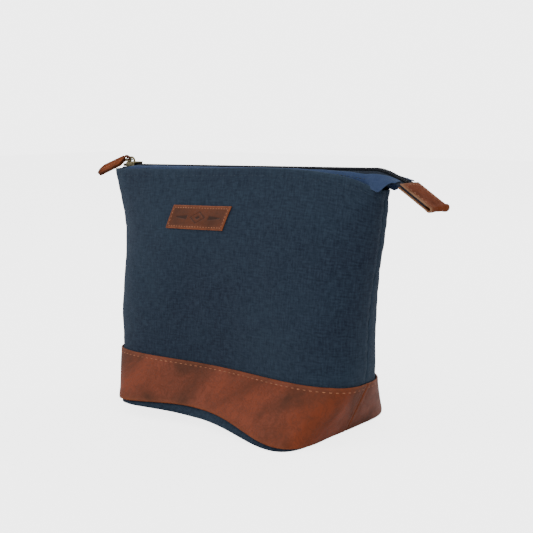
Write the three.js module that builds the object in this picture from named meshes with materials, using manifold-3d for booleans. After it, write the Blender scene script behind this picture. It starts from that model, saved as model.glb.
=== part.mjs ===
// A zipped wash bag of canvas and leather: two canvas walls with a leather band round their foot,
// a canvas base, a lining, a coil zip between two folded gusset strips, a slider with a ring and a
// stitched pull, and a leather tab folded over the tail of the zip.
// Millimetres, +Z up. The origin is on the underside of the base, below the middle of the rim.
// +X points to the zip's tail, and -Y is the front, where the patch is.

import * as THREE from 'three';
import { mergeVertices } from 'three/addons/utils/BufferGeometryUtils.js';
import Module from 'manifold-3d';

const wasm = await Module();
wasm.setup();

// ---------------------------------------------------------------- driving dimensions

const gap = 0.3;                 // air left between two pieces that touch
const canvasThickness = 1.2;
const leatherThickness = 1.4;
const liningThickness = 0.5;

const rim = {
  halfLength: 125,               // from the middle to a side seam, along the mouth
  height: 181,                   // height of the mouth's edge at the middle
  halfWidth: 13.5,               // half the mouth's width with the zip closed
  squareness: 4,
};

// How far the rim's edge lies above or below its height at the middle, along its half length.
const rimRise = [[-1, -2.2], [-0.28, 0.8], [0.28, 3.6], [0.6, 2.8], [0.84, -1.2], [1, -8.7]];

const bandHeight = 39;           // leather, from the base's edge to its top edge
const bandFoot = 1.8;            // leather's lower edge above the base's edge, at the corners
const bandArch = 4.7;            // and how much further above it is at the middle of the front
const bandEase = 0.3;            // leather stands this much looser on the canvas than touching

const base = { leftIn: 53.5, rightIn: 32.5, halfDepth: 69.5, bow: 13.7, squareness: 6.5 };
const baseLift = 7.5;            // how far the middle of the base's front edge stands off the floor
const leftLift = 9.5;            // how far the left end of the base stands off the floor
const leftLiftFade = 1.5;        // power with which that fades towards the band's top edge
const baseLip = 10;              // base canvas turned up behind the leather
const baseEase = 0.5;            // and lying this much deeper than the canvas of the walls
const baseFlat = 0.45;           // share of the base that lies flat round its middle

// Wall shape between the base, level 0, the band's top edge, level 1, and the rim, level 2.
const stations = [
  { level: 0.3, leftIn: 43, rightIn: 26.5, halfDepth: 62.5, bow: 15, squareness: 4.8 },
  { level: 1.0, leftIn: 16, rightIn: 13.5, halfDepth: 41, bow: 13, squareness: 2.9 },
  { level: 1.36, leftIn: 14, rightIn: 11, halfDepth: 36, bow: 9, squareness: 2.7 },
  { level: 1.72, leftIn: 11.5, rightIn: 4, halfDepth: 29.5, bow: 3.5, squareness: 2.6 },
];

const canvasOverlap = 3;         // canvas that runs down behind the band, to the line it folds on
const liningStart = 7.5;         // lining's lower edge above the base's edge
const liningClearance = 0.9;     // lining of the walls to the base canvas turned up outside it
const baseLiningMargin = 7.5;    // base lining ends this far inside the lining of the walls
const gussetAllowance = 5.5;     // gusset sewn inside the wall, below the rim
const liningDrop = 1.5;          // lining's top edge below the gusset's

const zip = {
  aboveRim: 1.3,                 // middle plane of the tape, at the middle of the bag
  rise: 2.275,                   // and how much it rises from there to the side seam
  tapeThickness: 0.5,
  tapeStart: 0.6,                // tape's inner edge from the zip's middle line
  tapeWidth: 12,
  coilWidth: 2.6,
  coilHeight: 2.1,
  coilStart: 0.15,
  spreadLength: 6,               // over which the open end parts to pass the slider's post
};

const gusset = {
  thickness: 0.6,
  start: 5.3,                    // its inner edge from the zip's middle line
  clearance: 0.6,                // above the tape
  wallClearance: 1.5,            // inside the canvas of the walls
  slopeAtSlider: 0.1083,           // how little it has turned down at the slider's edge, as a share
  squarenessRight: 2.4,
  turn: 200,                     // length over which the one squareness turns into the other
};

const leftEndInset = 7.2;        // zip tape and gusset end this far inside the left side seam
const stop = { length: 2, inset: 7.5 };

const tail = {                   // zip and gussets run out past the right side seam
  straightUntil: -14,            // measured from the seam, where the zip starts to fall
  points: [[-6, 3.4], [1, 1.9], [9, -1.3]],      // past the seam, and above the rim's middle
  gussetEnd: 14,
  leavesWall: [-21, -12],        // the gusset's outer edge rises out of the wall between these
  outerHeight: 1.2,              // and then runs this much over the rim's end
};

const tab = {                    // leather folded over the end of the tape
  seamDistance: 16.5,
  rootDrop: 4.6,                 // below the rim's middle
  droop: 33,                     // degrees below level
  length: 28,
  halfWidth: 11.5,
  leather: 1.25,
  foldRadius: 2.1,
  foldNeck: 0.8,                 // how deep the waist is between the flat and the round fold
  clearance: 0.45,               // leather to the tape inside
  tapeEnd: 0.9,                  // tape stops this far short of the fold
};

const slider = {
  inset: 16.2,                   // its middle from the left side seam
  length: 12.4,
  halfWidth: 4.9,
  cornerRadius: 2,
  plate: 1.1,
  flange: 0.7,
  clearance: 0.45,
  postWidth: 2.2,
  postLength: 3.6,
  postClearance: 0.4,            // parted zip to the post
  bridgeShift: -2.2,             // bridge's middle from the slider's middle
  bridgeOpening: 3.2,
  bridgeHeight: 2.4,
  bridgeLeg: 1.3,
  bridgeBar: 1.1,
  bridgeWidth: 1.6,
};

const ring = { radius: 3, wire: 0.5, rise: 10, roll: 28, lift: 0.25 };

const pull = {
  droop: 19,
  roll: 42,
  length: 35,
  width: 11.6,
  neckWidth: 2.4,
  shoulderWidth: 10.4,
  shoulder: 6.4,
  neckCurve: 0.6,                // share of the shoulder's distance that the neck stays narrow
  thickness: 2.6,
  loopBore: 1.7,
  loopWall: 1.05,
};

const patch = { width: 55, height: 17.2, lean: 7, along: 0.414, level: 1.752 };

// Numbers of facets
const columns = 26;
const zipColumns = 32;

// ---------------------------------------------------------------- helpers

const radians = THREE.MathUtils.degToRad;
const clamp = THREE.MathUtils.clamp;
const lerp = THREE.MathUtils.lerp;
const smooth = (t) => { const s = clamp(t, 0, 1); return s * s * (3 - 2 * s); };

// A smooth curve through [x, y] points, with each slope taken from its two neighbours.
function through(points, x, firstSlope, lastSlope) {
  const last = points.length - 1;
  const rise = (i, j) => (points[j][1] - points[i][1]) / (points[j][0] - points[i][0]);
  const slope = (i) => {
    if (i === 0) return firstSlope ?? rise(0, 1);
    if (i === last) return lastSlope ?? rise(last - 1, last);
    return rise(i - 1, i + 1);
  };
  let i = 0;
  while (i < last - 1 && x > points[i + 1][0]) i += 1;
  const span = points[i + 1][0] - points[i][0];
  const t = clamp((x - points[i][0]) / span, 0, 1);
  const a = points[i][1];
  const b = points[i + 1][1];
  const ma = slope(i) * span;
  const mb = slope(i + 1) * span;
  return a * (1 + 2 * t) * (1 - t) ** 2 + ma * t * (1 - t) ** 2
    + b * t * t * (3 - 2 * t) + mb * t * t * (t - 1);
}

// Faces turned outwards, whichever way a bend or a mirror left them.
function facingOut(geometry) {
  const g = geometry.index ? geometry : mergeVertices(geometry);
  const p = g.attributes.position;
  const index = Array.from(g.index.array);
  const [a, b, c] = [new THREE.Vector3(), new THREE.Vector3(), new THREE.Vector3()];
  let volume = 0;
  for (let i = 0; i < index.length; i += 3) {
    a.fromBufferAttribute(p, index[i]);
    b.fromBufferAttribute(p, index[i + 1]);
    c.fromBufferAttribute(p, index[i + 2]);
    volume += a.dot(b.clone().cross(c));
  }
  if (volume < 0) {
    for (let i = 0; i < index.length; i += 3) {
      [index[i + 1], index[i + 2]] = [index[i + 2], index[i + 1]];
    }
  }
  g.setIndex(index);
  g.computeVertexNormals();
  return g;
}

// A flat box of columns x rows squares, bent: place(u, v, w) takes each of its points, from 0 to 1
// along, up and through the sheet, to where it lies. w is 0 on the face that shows.
function bentSheet(across, up, place) {
  const g = new THREE.BoxGeometry(1, 1, 1, across, up, 1);
  const p = g.attributes.position;
  for (let i = 0; i < p.count; i += 1) {
    const at = place(p.getX(i) + 0.5, p.getY(i) + 0.5, 0.5 - p.getZ(i));
    p.setXYZ(i, at.x, at.y, at.z);
  }
  // The inner face's squares are cut along the same diagonal as the outer face's.
  const index = Array.from(g.index.array);
  const inner = g.groups[5];
  for (let i = inner.start; i < inner.start + inner.count; i += 6) {
    const [a, b, d, , c] = index.slice(i, i + 6);
    index.splice(i, 6, a, b, c, a, c, d);
  }
  g.setIndex(index);
  return facingOut(g);
}

const mirrored = (geometry) => facingOut(geometry.clone().scale(1, -1, 1));

function toSolid(geometry) {
  const g = geometry.clone();
  g.deleteAttribute('normal');
  g.deleteAttribute('uv');
  const merged = facingOut(mergeVertices(g, 1e-4));
  return new wasm.Manifold(new wasm.Mesh({
    numProp: 3,
    vertProperties: new Float32Array(merged.attributes.position.array),
    triVerts: new Uint32Array(merged.index.array),
  }));
}

function fromSolid(solid) {
  const mesh = solid.getMesh();
  const g = new THREE.BufferGeometry();
  g.setAttribute('position', new THREE.Float32BufferAttribute(mesh.vertProperties, 3));
  g.setIndex(Array.from(mesh.triVerts));
  g.computeVertexNormals();
  return g;
}

const block = (x0, x1, y0, y1, z0, z1) => new THREE.BoxGeometry(x1 - x0, y1 - y0, z1 - z0)
  .translate((x0 + x1) / 2, (y0 + y1) / 2, (z0 + z1) / 2);

// A frame with its own x and y along two directions that are square to each other.
function frameOf(origin, xAxis, yAxis) {
  const m = new THREE.Matrix4().makeBasis(xAxis, yAxis, xAxis.clone().cross(yAxis));
  return m.setPosition(origin);
}

// ---------------------------------------------------------------- the walls' shape

const rimTop = rimRise.map(([share, rise]) => [share * rim.halfLength, rim.height + rise]);
const rimHeight = (x) => through(rimTop, x);

const levels = [
  { level: 0, ...base },
  ...stations,
  { level: 2, leftIn: 0, rightIn: 0, halfDepth: rim.halfWidth, bow: 0,
    squareness: rim.squareness },
];
const profile = (key, level) => through(levels.map((s) => [s.level, s[key]]), level);
const reach = (share, level) => rim.halfLength - profile(share < 0 ? 'leftIn' : 'rightIn', level);

// Height of a point of the wall: the base's edge arches up in the middle of the front and back, and
// its left end is drawn up, less and less towards the band's top edge.
function wallHeight(level, x, share) {
  if (level >= 1) return lerp(bandHeight, rimHeight(x), level - 1);
  const drawnUp = leftLift * smooth(-share) * (1 - level) ** leftLiftFade;
  return lerp(baseLift * (1 - share * share) ** 2, bandHeight, level) + drawnUp;
}

const outlineSteps = 240;
const outlines = new Map();

// The front half of the wall's outline at one level, from the left seam to the right, as a
// superellipse whose middle bows inwards, with the length from the left seam to each point.
function outline(level) {
  const key = level.toFixed(6);
  if (outlines.has(key)) return outlines.get(key);
  const [depth, bow, square] = ['halfDepth', 'bow', 'squareness'].map((key) => profile(key, level));
  const [left, right] = [-1, 1].map((side) => reach(side, level));
  const points = [];
  const lengths = [0];
  for (let i = 0; i <= outlineSteps; i += 1) {
    const angle = Math.PI * (1 - i / outlineSteps);
    const share = Math.sign(Math.cos(angle)) * Math.abs(Math.cos(angle)) ** (2 / square);
    const x = share * (share < 0 ? left : right);
    const y = -(depth - bow * (1 - share * share) ** 2) * Math.abs(Math.sin(angle)) ** (2 / square);
    points.push(new THREE.Vector3(x, i % outlineSteps === 0 ? 0 : y, wallHeight(level, x, share)));
    if (i > 0) lengths.push(lengths[i - 1] + points[i].distanceTo(points[i - 1]));
  }
  const made = { points, lengths, total: lengths[outlineSteps] };
  outlines.set(key, made);
  return made;
}

// Columns stand closer together near the side seams, where the wall turns.
const seamwards = 0.07;
const spaced = (u) => u - seamwards * Math.sin(2 * Math.PI * u);

// A point of the front wall: u runs from 0 at the left seam to 1 at the right, and past a seam
// the wall goes on as its own mirror image.
function wallPoint(u, level) {
  if (u < 0) return wallPoint(-u, level).multiply(new THREE.Vector3(1, -1, 1));
  if (u > 1) return wallPoint(2 - u, level).multiply(new THREE.Vector3(1, -1, 1));
  const { points, lengths, total } = outline(level);
  const wanted = u * total;
  let i = Math.min(outlineSteps - 1, Math.floor(u * outlineSteps));
  while (i > 0 && lengths[i] > wanted) i -= 1;
  while (i < outlineSteps - 1 && lengths[i + 1] < wanted) i += 1;
  const t = clamp((wanted - lengths[i]) / (lengths[i + 1] - lengths[i]), 0, 1);
  return points[i].clone().lerp(points[i + 1], t);
}

// Outward direction at a point, square to the surface's two tangents.
function outward(surface, u, v, du, dv) {
  const along = surface(u + du, v).sub(surface(u - du, v));
  const up = surface(u, v + dv).sub(surface(u, v - dv));
  return along.cross(up).normalize();
}

function wall(u, level, offset) {
  const low = Math.min(Math.max(level, 0.01), 1.99);
  const normal = outward(wallPoint, u, low, 0.004, 0.01);
  return wallPoint(u, level).addScaledVector(normal, offset);
}

// A wall piece of the front, between two edges whose levels may change along it, and two offsets.
// Sheets that lie on each other share the levels of their rows, so that their facets nest.
function wallPiece(rows, bottom, top, outer, inner) {
  const edges = rows.length + 1;
  return bentSheet(columns, edges, (u, v, w) => {
    const along = clamp(spaced(u), seamShare, 1 - seamShare);
    const row = Math.round(v * edges);
    const levelAt = [bottom, ...rows, top][row];
    const level = typeof levelAt === 'function' ? levelAt(along) : levelAt;
    return wall(along, level, lerp(outer, inner, w));
  });
}
const seamShare = (gap / 2) / outline(2).total;
const atBandHeight = (mm) => mm / bandHeight;
const canvasFoot = 1 - atBandHeight(canvasOverlap);
const bandRows = [0.26, 0.45, 0.63, 0.8, canvasFoot];
const canvasRows = [1, 1.15, 1.33, 1.52, 1.7, 1.84];

// ---------------------------------------------------------------- leather and canvas

const leatherInner = gap + bandEase;
const leatherOuter = leatherInner + leatherThickness;
const liningOuter = -(baseEase + canvasThickness + liningClearance);
const liningInner = liningOuter - liningThickness;

const shareAlong = (u, level) => {
  const x = wallPoint(u, level).x;
  return x / reach(x, level);
};
const footLevel = (u) => atBandHeight(bandFoot + bandArch * (1 - shareAlong(u, 0) ** 2) ** 2);
const belowRim = (u, mm) => 2 - mm / (rimHeight(wallPoint(u, 2).x) - bandHeight);

const lipRows = [0.35, 0.7, 1].map((share) => share * atBandHeight(baseLip));
const footRows = [1 / 3, 2 / 3].map((share) => (u) => lerp(footLevel(u), bandRows[0], share));
const leatherBand = () => wallPiece(
  [...footRows, ...bandRows], footLevel, 1, leatherOuter, leatherInner);
const canvasWall = () => wallPiece(
  canvasRows, canvasFoot, 2, 0, -canvasThickness);
const lining = () => wallPiece(
  [...lipRows.slice(1), ...bandRows.slice(1), ...canvasRows], atBandHeight(liningStart),
  (u) => belowRim(u, gussetAllowance + liningDrop), liningOuter, liningInner);

// A round disc of rings, bent: place(around, r, w) takes each of its points to where it lies.
// around runs from 0 at the left seam over the front, and r is the ring's own number.
function bentDisc(rings, place) {
  const bottom = rings.map((r) => new THREE.Vector2(r, 0));
  const top = [...rings].reverse().map((r) => new THREE.Vector2(r, 1));
  const g = new THREE.LatheGeometry([...bottom, ...top], 2 * columns);
  const p = g.attributes.position;
  for (let i = 0; i < p.count; i += 1) {
    const around = (Math.atan2(p.getX(i), p.getZ(i)) / (2 * Math.PI) + 1) % 1;
    const at = place(Math.round(around * 2 * columns) % (2 * columns) / (2 * columns),
      Math.hypot(p.getX(i), p.getZ(i)), p.getY(i));
    p.setXYZ(i, at.x, at.y, at.z);
  }
  g.deleteAttribute('normal');
  g.deleteAttribute('uv');
  return facingOut(mergeVertices(g, 1e-4));
}

function wallAround(around, level, offset) {
  if (around <= 0.5) return wall(spaced(2 * around), level, offset);
  return wall(spaced(2 - 2 * around), level, offset).multiply(new THREE.Vector3(1, -1, 1));
}

const baseMiddle = (base.leftIn - base.rightIn) / 2;

// Height of the base's underside: flat round the middle, rising to its arched edge.
function basePoint(around, r, inset, z) {
  const edge = wallAround(around, 0, 0);
  const inner = new THREE.Vector3(baseMiddle, 0, 0);
  const way = edge.clone().sub(inner).setZ(0);
  const length = way.length();
  const rise = edge.z * smooth((r - baseFlat) / (1 - baseFlat));
  return inner.addScaledVector(way, r * (length - inset) / length).setZ(rise + z);
}

// The base canvas: rings up to 1 lie on the floor, and those past 1 turn up behind the leather.
const basePanel = () => bentDisc([0, baseFlat, 0.75, 1, 2, 3, 4], (around, r, w) => {
  const depth = baseEase + w * canvasThickness;
  if (r < 1.5) return basePoint(around, r, depth, w * canvasThickness);
  return wallAround(around, lipRows[Math.round(r) - 2], -depth);
});

const baseLiningInset = canvasThickness + liningThickness + baseLiningMargin;
const baseLining = () => bentDisc([0, baseFlat, 0.75, 1], (around, r, w) => basePoint(
  around, r, baseLiningInset, canvasThickness + gap + w * liningThickness));

// ---------------------------------------------------------------- zip and gussets

const seamRight = rim.halfLength;
const zipLeft = -rim.halfLength + leftEndInset;
const tabRoot = new THREE.Vector3(seamRight + tab.seamDistance, 0, rim.height - tab.rootDrop);
const tabWay = new THREE.Vector3(Math.cos(radians(tab.droop)), 0, -Math.sin(radians(tab.droop)));
const zipSlopeEnd = seamRight + tail.straightUntil;
const zipSlope = zip.rise / rim.halfLength;
const straightZip = (x) => rim.height + zip.aboveRim + zipSlope * x;

const tailLine = [
  [zipSlopeEnd, straightZip(zipSlopeEnd)],
  ...tail.points.map(([past, height]) => [seamRight + past, rim.height + height]),
  [tabRoot.x, tabRoot.z],
];
// Height of the zip's middle plane: straight along the mouth, then falling along the tail.
function zipHeight(x) {
  const fall = -Math.tan(radians(tab.droop));
  if (x <= zipSlopeEnd) return straightZip(x);
  if (x >= tabRoot.x) return tabRoot.z + fall * (x - tabRoot.x);
  return through(tailLine, x, zipSlope, fall);
}

// Half the room between the walls at x, at one of their levels, and all the way down a gusset.
function halfRoom(x, level) {
  const square = profile('squareness', level);
  const share = Math.min(Math.abs(x) / reach(x, level), 1);
  return profile('halfDepth', level) * (1 - share ** square) ** (1 / square);
}
const gussetFoot = (x) => 2 - gussetAllowance / (rimHeight(x) - bandHeight);
const insideWall = (x) => Math.min(halfRoom(x, 2), halfRoom(x, gussetFoot(x)))
  - canvasThickness - gap;

// How far the two halves of the zip stand apart: closed, except round the slider's post.
const postEnd = -rim.halfLength + slider.inset - slider.length / 2 + slider.cornerRadius / 2
  + slider.postLength;
const spread = slider.postWidth / 2 + slider.postClearance - zip.coilStart;
const parted = (x) => spread * smooth((postEnd + zip.spreadLength - x) / zip.spreadLength);

// Outer edge of the gusset at x, inside the wall along the mouth and free along the tail.
function outerEdge(x) {
  const past = x - seamRight;
  const [leaves, free] = tail.leavesWall;
  const over = smooth((past - leaves) / (free - leaves));
  const inside = insideWall(Math.min(x, seamRight + free)) - gusset.thickness - gusset.wallClearance;
  const y = lerp(inside, tab.halfWidth - gap, smooth((past - free) / (tail.gussetEnd - free)));
  const wallZ = rimHeight(Math.min(x, seamRight));
  const sewn = wallZ - gussetAllowance;
  const crossing = wallZ + tail.outerHeight;
  const level = zipHeight(x) - zip.tapeThickness;
  const outside = lerp(crossing, level, smooth(past / tail.gussetEnd));
  return { y, z: lerp(sewn, outside, over) };
}

// The zip turns down outside the slider: its squareness there follows from the slider's width.
const sliderShare = (slider.halfWidth - zip.tapeStart)
  / (outerEdge(-rim.halfLength + slider.inset).y - zip.tapeStart);
const squarenessAtSlider = Math.log(gusset.slopeAtSlider) / Math.log(sliderShare);

// The line that zip tape and gusset share in a cross-section at x: level beside the coil, then
// turning down inside the wall. t runs from the coil to the gusset's outer edge.
const sectionSteps = 48;
const sections = new Map();
function section(x) {
  const key = x.toFixed(4);
  if (sections.has(key)) return sections.get(key);
  const edge = outerEdge(x);
  const top = zipHeight(x);
  const start = zip.tapeStart + parted(x);
  const square = lerp(squarenessAtSlider, gusset.squarenessRight,
    smooth(0.5 + x / gusset.turn));
  const points = [];
  const lengths = [0];
  for (let i = 0; i <= sectionSteps; i += 1) {
    const angle = (Math.PI / 2) * (i / sectionSteps);
    const y = lerp(start, edge.y, Math.sin(angle) ** (2 / square));
    const z = lerp(edge.z, top, Math.abs(Math.cos(angle)) ** (2 / square));
    points.push(new THREE.Vector3(x, -y, z));
    if (i > 0) lengths.push(lengths[i - 1] + points[i].distanceTo(points[i - 1]));
  }
  const made = { points, lengths, total: lengths[sectionSteps] };
  sections.set(key, made);
  return made;
}

// A point of that line, mm along it from the coil.
function sectionPoint(x, mm) {
  const { points, lengths } = section(x);
  let i = 0;
  while (i < sectionSteps - 1 && lengths[i + 1] < mm) i += 1;
  const t = clamp((mm - lengths[i]) / (lengths[i + 1] - lengths[i]), 0, 1);
  return points[i].clone().lerp(points[i + 1], t);
}

function zipSheet(x, mm, offset) {
  const total = section(x).total;
  const inner = clamp(mm, 0.3, total - 0.3);
  const normal = outward((a, b) => sectionPoint(a, b), x, inner, 0.3, -0.25);
  return sectionPoint(x, clamp(mm, 0, total)).addScaledVector(normal, offset);
}

// Length along the section at which it is y away from the middle line.
function lengthAt(x, y) {
  const { points, lengths } = section(x);
  const i = points.findIndex((p) => -p.y >= y);
  return i < 0 ? lengths[sectionSteps] : lengths[i];
}

const alongZip = (u, from, to) => lerp(from, to, spaced(u));

function zipTape() {
  const end = tabRoot.x + tabWay.x * (tab.length - 2 * tab.foldRadius - tab.tapeEnd);
  return bentSheet(zipColumns, 4, (u, v, w) => {
    const x = alongZip(u, zipLeft, end);
    const width = Math.min(zip.tapeWidth, section(x).total - gap);
    return zipSheet(x, (1 - v) * width, zip.tapeThickness * (0.5 - w));
  });
}

function zipCoil() {
  const from = -rim.halfLength + stop.inset + stop.length + gap;
  const end = seamRight + tail.gussetEnd;
  const low = zip.tapeThickness / 2 + gap;
  return bentSheet(zipColumns, 1, (u, v, w) => {
    const x = alongZip(u, from, end);
    const y = -(zip.coilStart + parted(x) + (1 - v) * zip.coilWidth);
    const slope = new THREE.Vector3(0.5, 0, zipHeight(x + 0.25) - zipHeight(x - 0.25)).normalize();
    const up = new THREE.Vector3(-slope.z, 0, slope.x);
    return new THREE.Vector3(x, y, zipHeight(x)).addScaledVector(up, low + (1 - w) * zip.coilHeight);
  });
}

function zipGusset() {
  const end = seamRight + tail.gussetEnd;
  const lower = zip.tapeThickness / 2 + gusset.clearance;
  return bentSheet(zipColumns, 4, (u, v, w) => {
    const x = alongZip(u, zipLeft, end);
    const edge = outerEdge(x).y;
    const from = lengthAt(x, Math.min(gusset.start, edge - gusset.thickness));
    return zipSheet(x, lerp(section(x).total, from, v), lower + (1 - w) * gusset.thickness);
  });
}

function topStop() {
  const x0 = -rim.halfLength + stop.inset;
  const y0 = -(zip.coilStart + parted(x0) + zip.coilWidth);
  const z0 = zipHeight(x0) + zip.tapeThickness / 2 + gap;
  return facingOut(block(x0, x0 + stop.length, y0, y0 + zip.coilWidth, z0, z0 + zip.coilHeight));
}

// ---------------------------------------------------------------- tail tab

// The tab's leather seen from its side: two layers with the tape between them and a round fold.
function tailTab() {
  const slot = zip.tapeThickness / 2 + tab.clearance;
  const outer = slot + tab.leather;
  const foldAt = tab.length - tab.foldRadius;
  const neck = Math.asin(tab.foldNeck * outer / tab.foldRadius);
  const shape = new THREE.Shape();
  shape.moveTo(0, slot);
  shape.lineTo(0, outer);
  shape.lineTo(foldAt - 2 * tab.foldRadius, outer);
  shape.quadraticCurveTo(foldAt - tab.foldRadius, outer,
    foldAt - tab.foldRadius * Math.cos(neck), tab.foldRadius * Math.sin(neck));
  shape.absarc(foldAt, 0, tab.foldRadius, Math.PI - neck, neck - Math.PI, true);
  shape.quadraticCurveTo(foldAt - tab.foldRadius, -outer, foldAt - 2 * tab.foldRadius, -outer);
  shape.lineTo(0, -outer);
  shape.lineTo(0, -slot);
  shape.lineTo(foldAt - tab.foldRadius, -slot);
  shape.absarc(foldAt - tab.foldRadius, 0, slot, -Math.PI / 2, Math.PI / 2, false);
  shape.lineTo(0, slot);
  const g = new THREE.ExtrudeGeometry(shape, {
    depth: 2 * tab.halfWidth, bevelEnabled: false, curveSegments: 6, steps: 1,
  });
  g.translate(0, 0, -tab.halfWidth);
  const up = new THREE.Vector3(-tabWay.z, 0, tabWay.x);
  g.applyMatrix4(frameOf(tabRoot, tabWay, up));
  return facingOut(mergeVertices(g.deleteAttribute('normal').deleteAttribute('uv'), 1e-4));
}

// ---------------------------------------------------------------- slider, ring and pull

// These are made with x along the zip and z up from the middle of the tape.
const sliderAt = new THREE.Vector3(-rim.halfLength + slider.inset, 0, 0);
sliderAt.z = straightZip(sliderAt.x);
const sliderBottom = -(zip.tapeThickness / 2 + slider.clearance);
const sliderFlangeFoot = -sliderBottom;
const plateBottom = zip.tapeThickness / 2 + gap + zip.coilHeight + slider.clearance;
const plateTop = plateBottom + slider.plate;
const bridgeMiddle = new THREE.Vector3(
  slider.bridgeShift, 0, plateTop + slider.bridgeHeight / 2 + ring.lift);

function sliderBody() {
  const half = slider.length / 2;
  const w = slider.halfWidth;
  const r = slider.cornerRadius;
  const plan = new THREE.Shape();
  plan.moveTo(-half + r, -w);
  plan.lineTo(half - r, -w);
  plan.quadraticCurveTo(half, -w, half, -w + r);
  plan.lineTo(half, w - r);
  plan.quadraticCurveTo(half, w, half - r, w);
  plan.lineTo(-half + r, w);
  plan.quadraticCurveTo(-half, w, -half, w - r);
  plan.lineTo(-half, -w + r);
  plan.quadraticCurveTo(-half, -w, -half + r, -w);
  const plate = (z) => new THREE.ExtrudeGeometry(plan, {
    depth: slider.plate, bevelEnabled: false, curveSegments: 4,
  }).translate(0, 0, z);
  const bridgeHalf = slider.bridgeOpening / 2;
  const legFoot = plateTop - slider.plate / 2;
  const barFoot = plateTop + slider.bridgeHeight;
  const bar = slider.bridgeWidth / 2;
  const x = slider.bridgeShift;
  const pieces = [
    plate(plateBottom),
    plate(sliderBottom - slider.plate),
    ...[-1, 1].map((side) => block(-half + r, half - r,
      Math.min(side * w, side * (w - slider.flange)), Math.max(side * w, side * (w - slider.flange)),
      sliderFlangeFoot, plateTop - slider.plate / 2)),
    block(-half + r / 2, -half + r / 2 + slider.postLength,
      -slider.postWidth / 2, slider.postWidth / 2,
      sliderBottom - slider.plate / 2, plateTop - slider.plate / 2),
    ...[-1, 1].map((side) => block(
      x + Math.min(side * bridgeHalf, side * (bridgeHalf + slider.bridgeLeg)),
      x + Math.max(side * bridgeHalf, side * (bridgeHalf + slider.bridgeLeg)),
      -bar, bar, legFoot, barFoot + slider.bridgeBar / 2)),
    block(x - bridgeHalf - slider.bridgeLeg, x + bridgeHalf + slider.bridgeLeg,
      -bar, bar, barFoot, barFoot + slider.bridgeBar),
  ];
  return fromSolid(pieces.map(toSolid).reduce((a, b) => a.add(b)));
}

// The ring leaves the bridge along its own way, rolled about it so that its front side is low.
function rolledFrame(degreesUp, roll) {
  const a = radians(degreesUp);
  const way = new THREE.Vector3(-Math.cos(a), 0, Math.sin(a));
  const up = new THREE.Vector3(Math.sin(a), 0, Math.cos(a));
  const across = new THREE.Vector3(0, -Math.cos(radians(roll)), 0)
    .addScaledVector(up, -Math.sin(radians(roll)));
  return { way, across };
}
const ringFrame = rolledFrame(ring.rise, ring.roll);
const pullFrame = rolledFrame(-pull.droop, pull.roll);
const loopMiddle = bridgeMiddle.clone().addScaledVector(ringFrame.way, 2 * ring.radius);

function pullRing() {
  const middle = bridgeMiddle.clone().addScaledVector(ringFrame.way, ring.radius);
  const g = new THREE.TorusGeometry(ring.radius, ring.wire, 8, 28);
  g.applyMatrix4(frameOf(middle, ringFrame.way, ringFrame.across));
  return facingOut(mergeVertices(g.deleteAttribute('normal').deleteAttribute('uv'), 1e-4));
}

// The pull: a stitched strap with a narrow neck that loops round the ring's wire.
function leatherPull() {
  const neck = pull.neckWidth / 2;
  const shoulder = pull.shoulderWidth / 2;
  const w = pull.width / 2;
  const start = pull.loopBore + pull.loopWall / 2;
  const outline2d = new THREE.Shape();
  outline2d.moveTo(start, -neck);
  outline2d.quadraticCurveTo(pull.shoulder * pull.neckCurve, -neck, pull.shoulder, -shoulder);
  outline2d.lineTo(pull.length - w, -w);
  outline2d.absarc(pull.length - w, 0, w, -Math.PI / 2, Math.PI / 2, false);
  outline2d.lineTo(pull.shoulder, shoulder);
  outline2d.quadraticCurveTo(pull.shoulder * pull.neckCurve, neck, start, neck);
  outline2d.lineTo(start, -neck);
  const strap = new THREE.ExtrudeGeometry(outline2d, {
    depth: pull.thickness, bevelEnabled: false, curveSegments: 8,
  }).translate(0, 0, -pull.thickness / 2);
  const loopOuter = pull.loopBore + pull.loopWall;
  const round = (radius, width) => new THREE.CylinderGeometry(radius, radius, width, 20);
  const solid = toSolid(strap)
    .add(toSolid(round(loopOuter, pull.neckWidth)))
    .subtract(toSolid(round(pull.loopBore, pull.neckWidth * 2)));
  const g = fromSolid(solid);
  return g.applyMatrix4(frameOf(loopMiddle, pullFrame.way, pullFrame.across));
}

// ---------------------------------------------------------------- patch

function namePatch() {
  const length = outline(patch.level).total;
  const middle = wallPoint(patch.along, patch.level);
  const wallRise = rimHeight(middle.x) - bandHeight;
  return bentSheet(8, 3, (u, v, w) => {
    const side = (u - 0.5) * patch.width + (v - 0.5) * patch.lean;
    const level = patch.level + (v - 0.5) * patch.height / wallRise;
    return wall(patch.along + side / length, level, lerp(leatherOuter, leatherInner, w));
  });
}

// ---------------------------------------------------------------- the bag

const cloth = (color, roughness = 0.9) => new THREE.MeshStandardMaterial({ color, roughness });
const canvas = cloth(0x2b3c50);
const gussetCanvas = cloth(0x33486b);
const liningCloth = cloth(0x23262c, 0.7);
const tapeCloth = cloth(0x222c3c);
const coilNylon = cloth(0x1c2330, 0.5);
const leather = cloth(0x7c4631, 0.55);
const brass = new THREE.MeshStandardMaterial({ color: 0x6f6748, roughness: 0.4, metalness: 1 });

const bag = new THREE.Group();
function piece(name, geometry, material, parent = bag) {
  const mesh = new THREE.Mesh(geometry, material);
  mesh.name = name;
  parent.add(mesh);
}

piece('base_canvas_panel', basePanel(), canvas);
piece('base_lining', baseLining(), liningCloth);

const pairs = [
  ['leather_band', leatherBand(), leather],
  ['canvas_panel', canvasWall(), canvas],
  ['lining', lining(), liningCloth],
  ['zip_gusset', zipGusset(), gussetCanvas],
  ['zip_tape', zipTape(), tapeCloth],
  ['zip_coil', zipCoil(), coilNylon],
  ['zip_top_stop', topStop(), brass],
];
for (const [name, geometry, material] of pairs) {
  piece(`front_${name}`, geometry, material);
  piece(`back_${name}`, mirrored(geometry), material);
}

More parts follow.
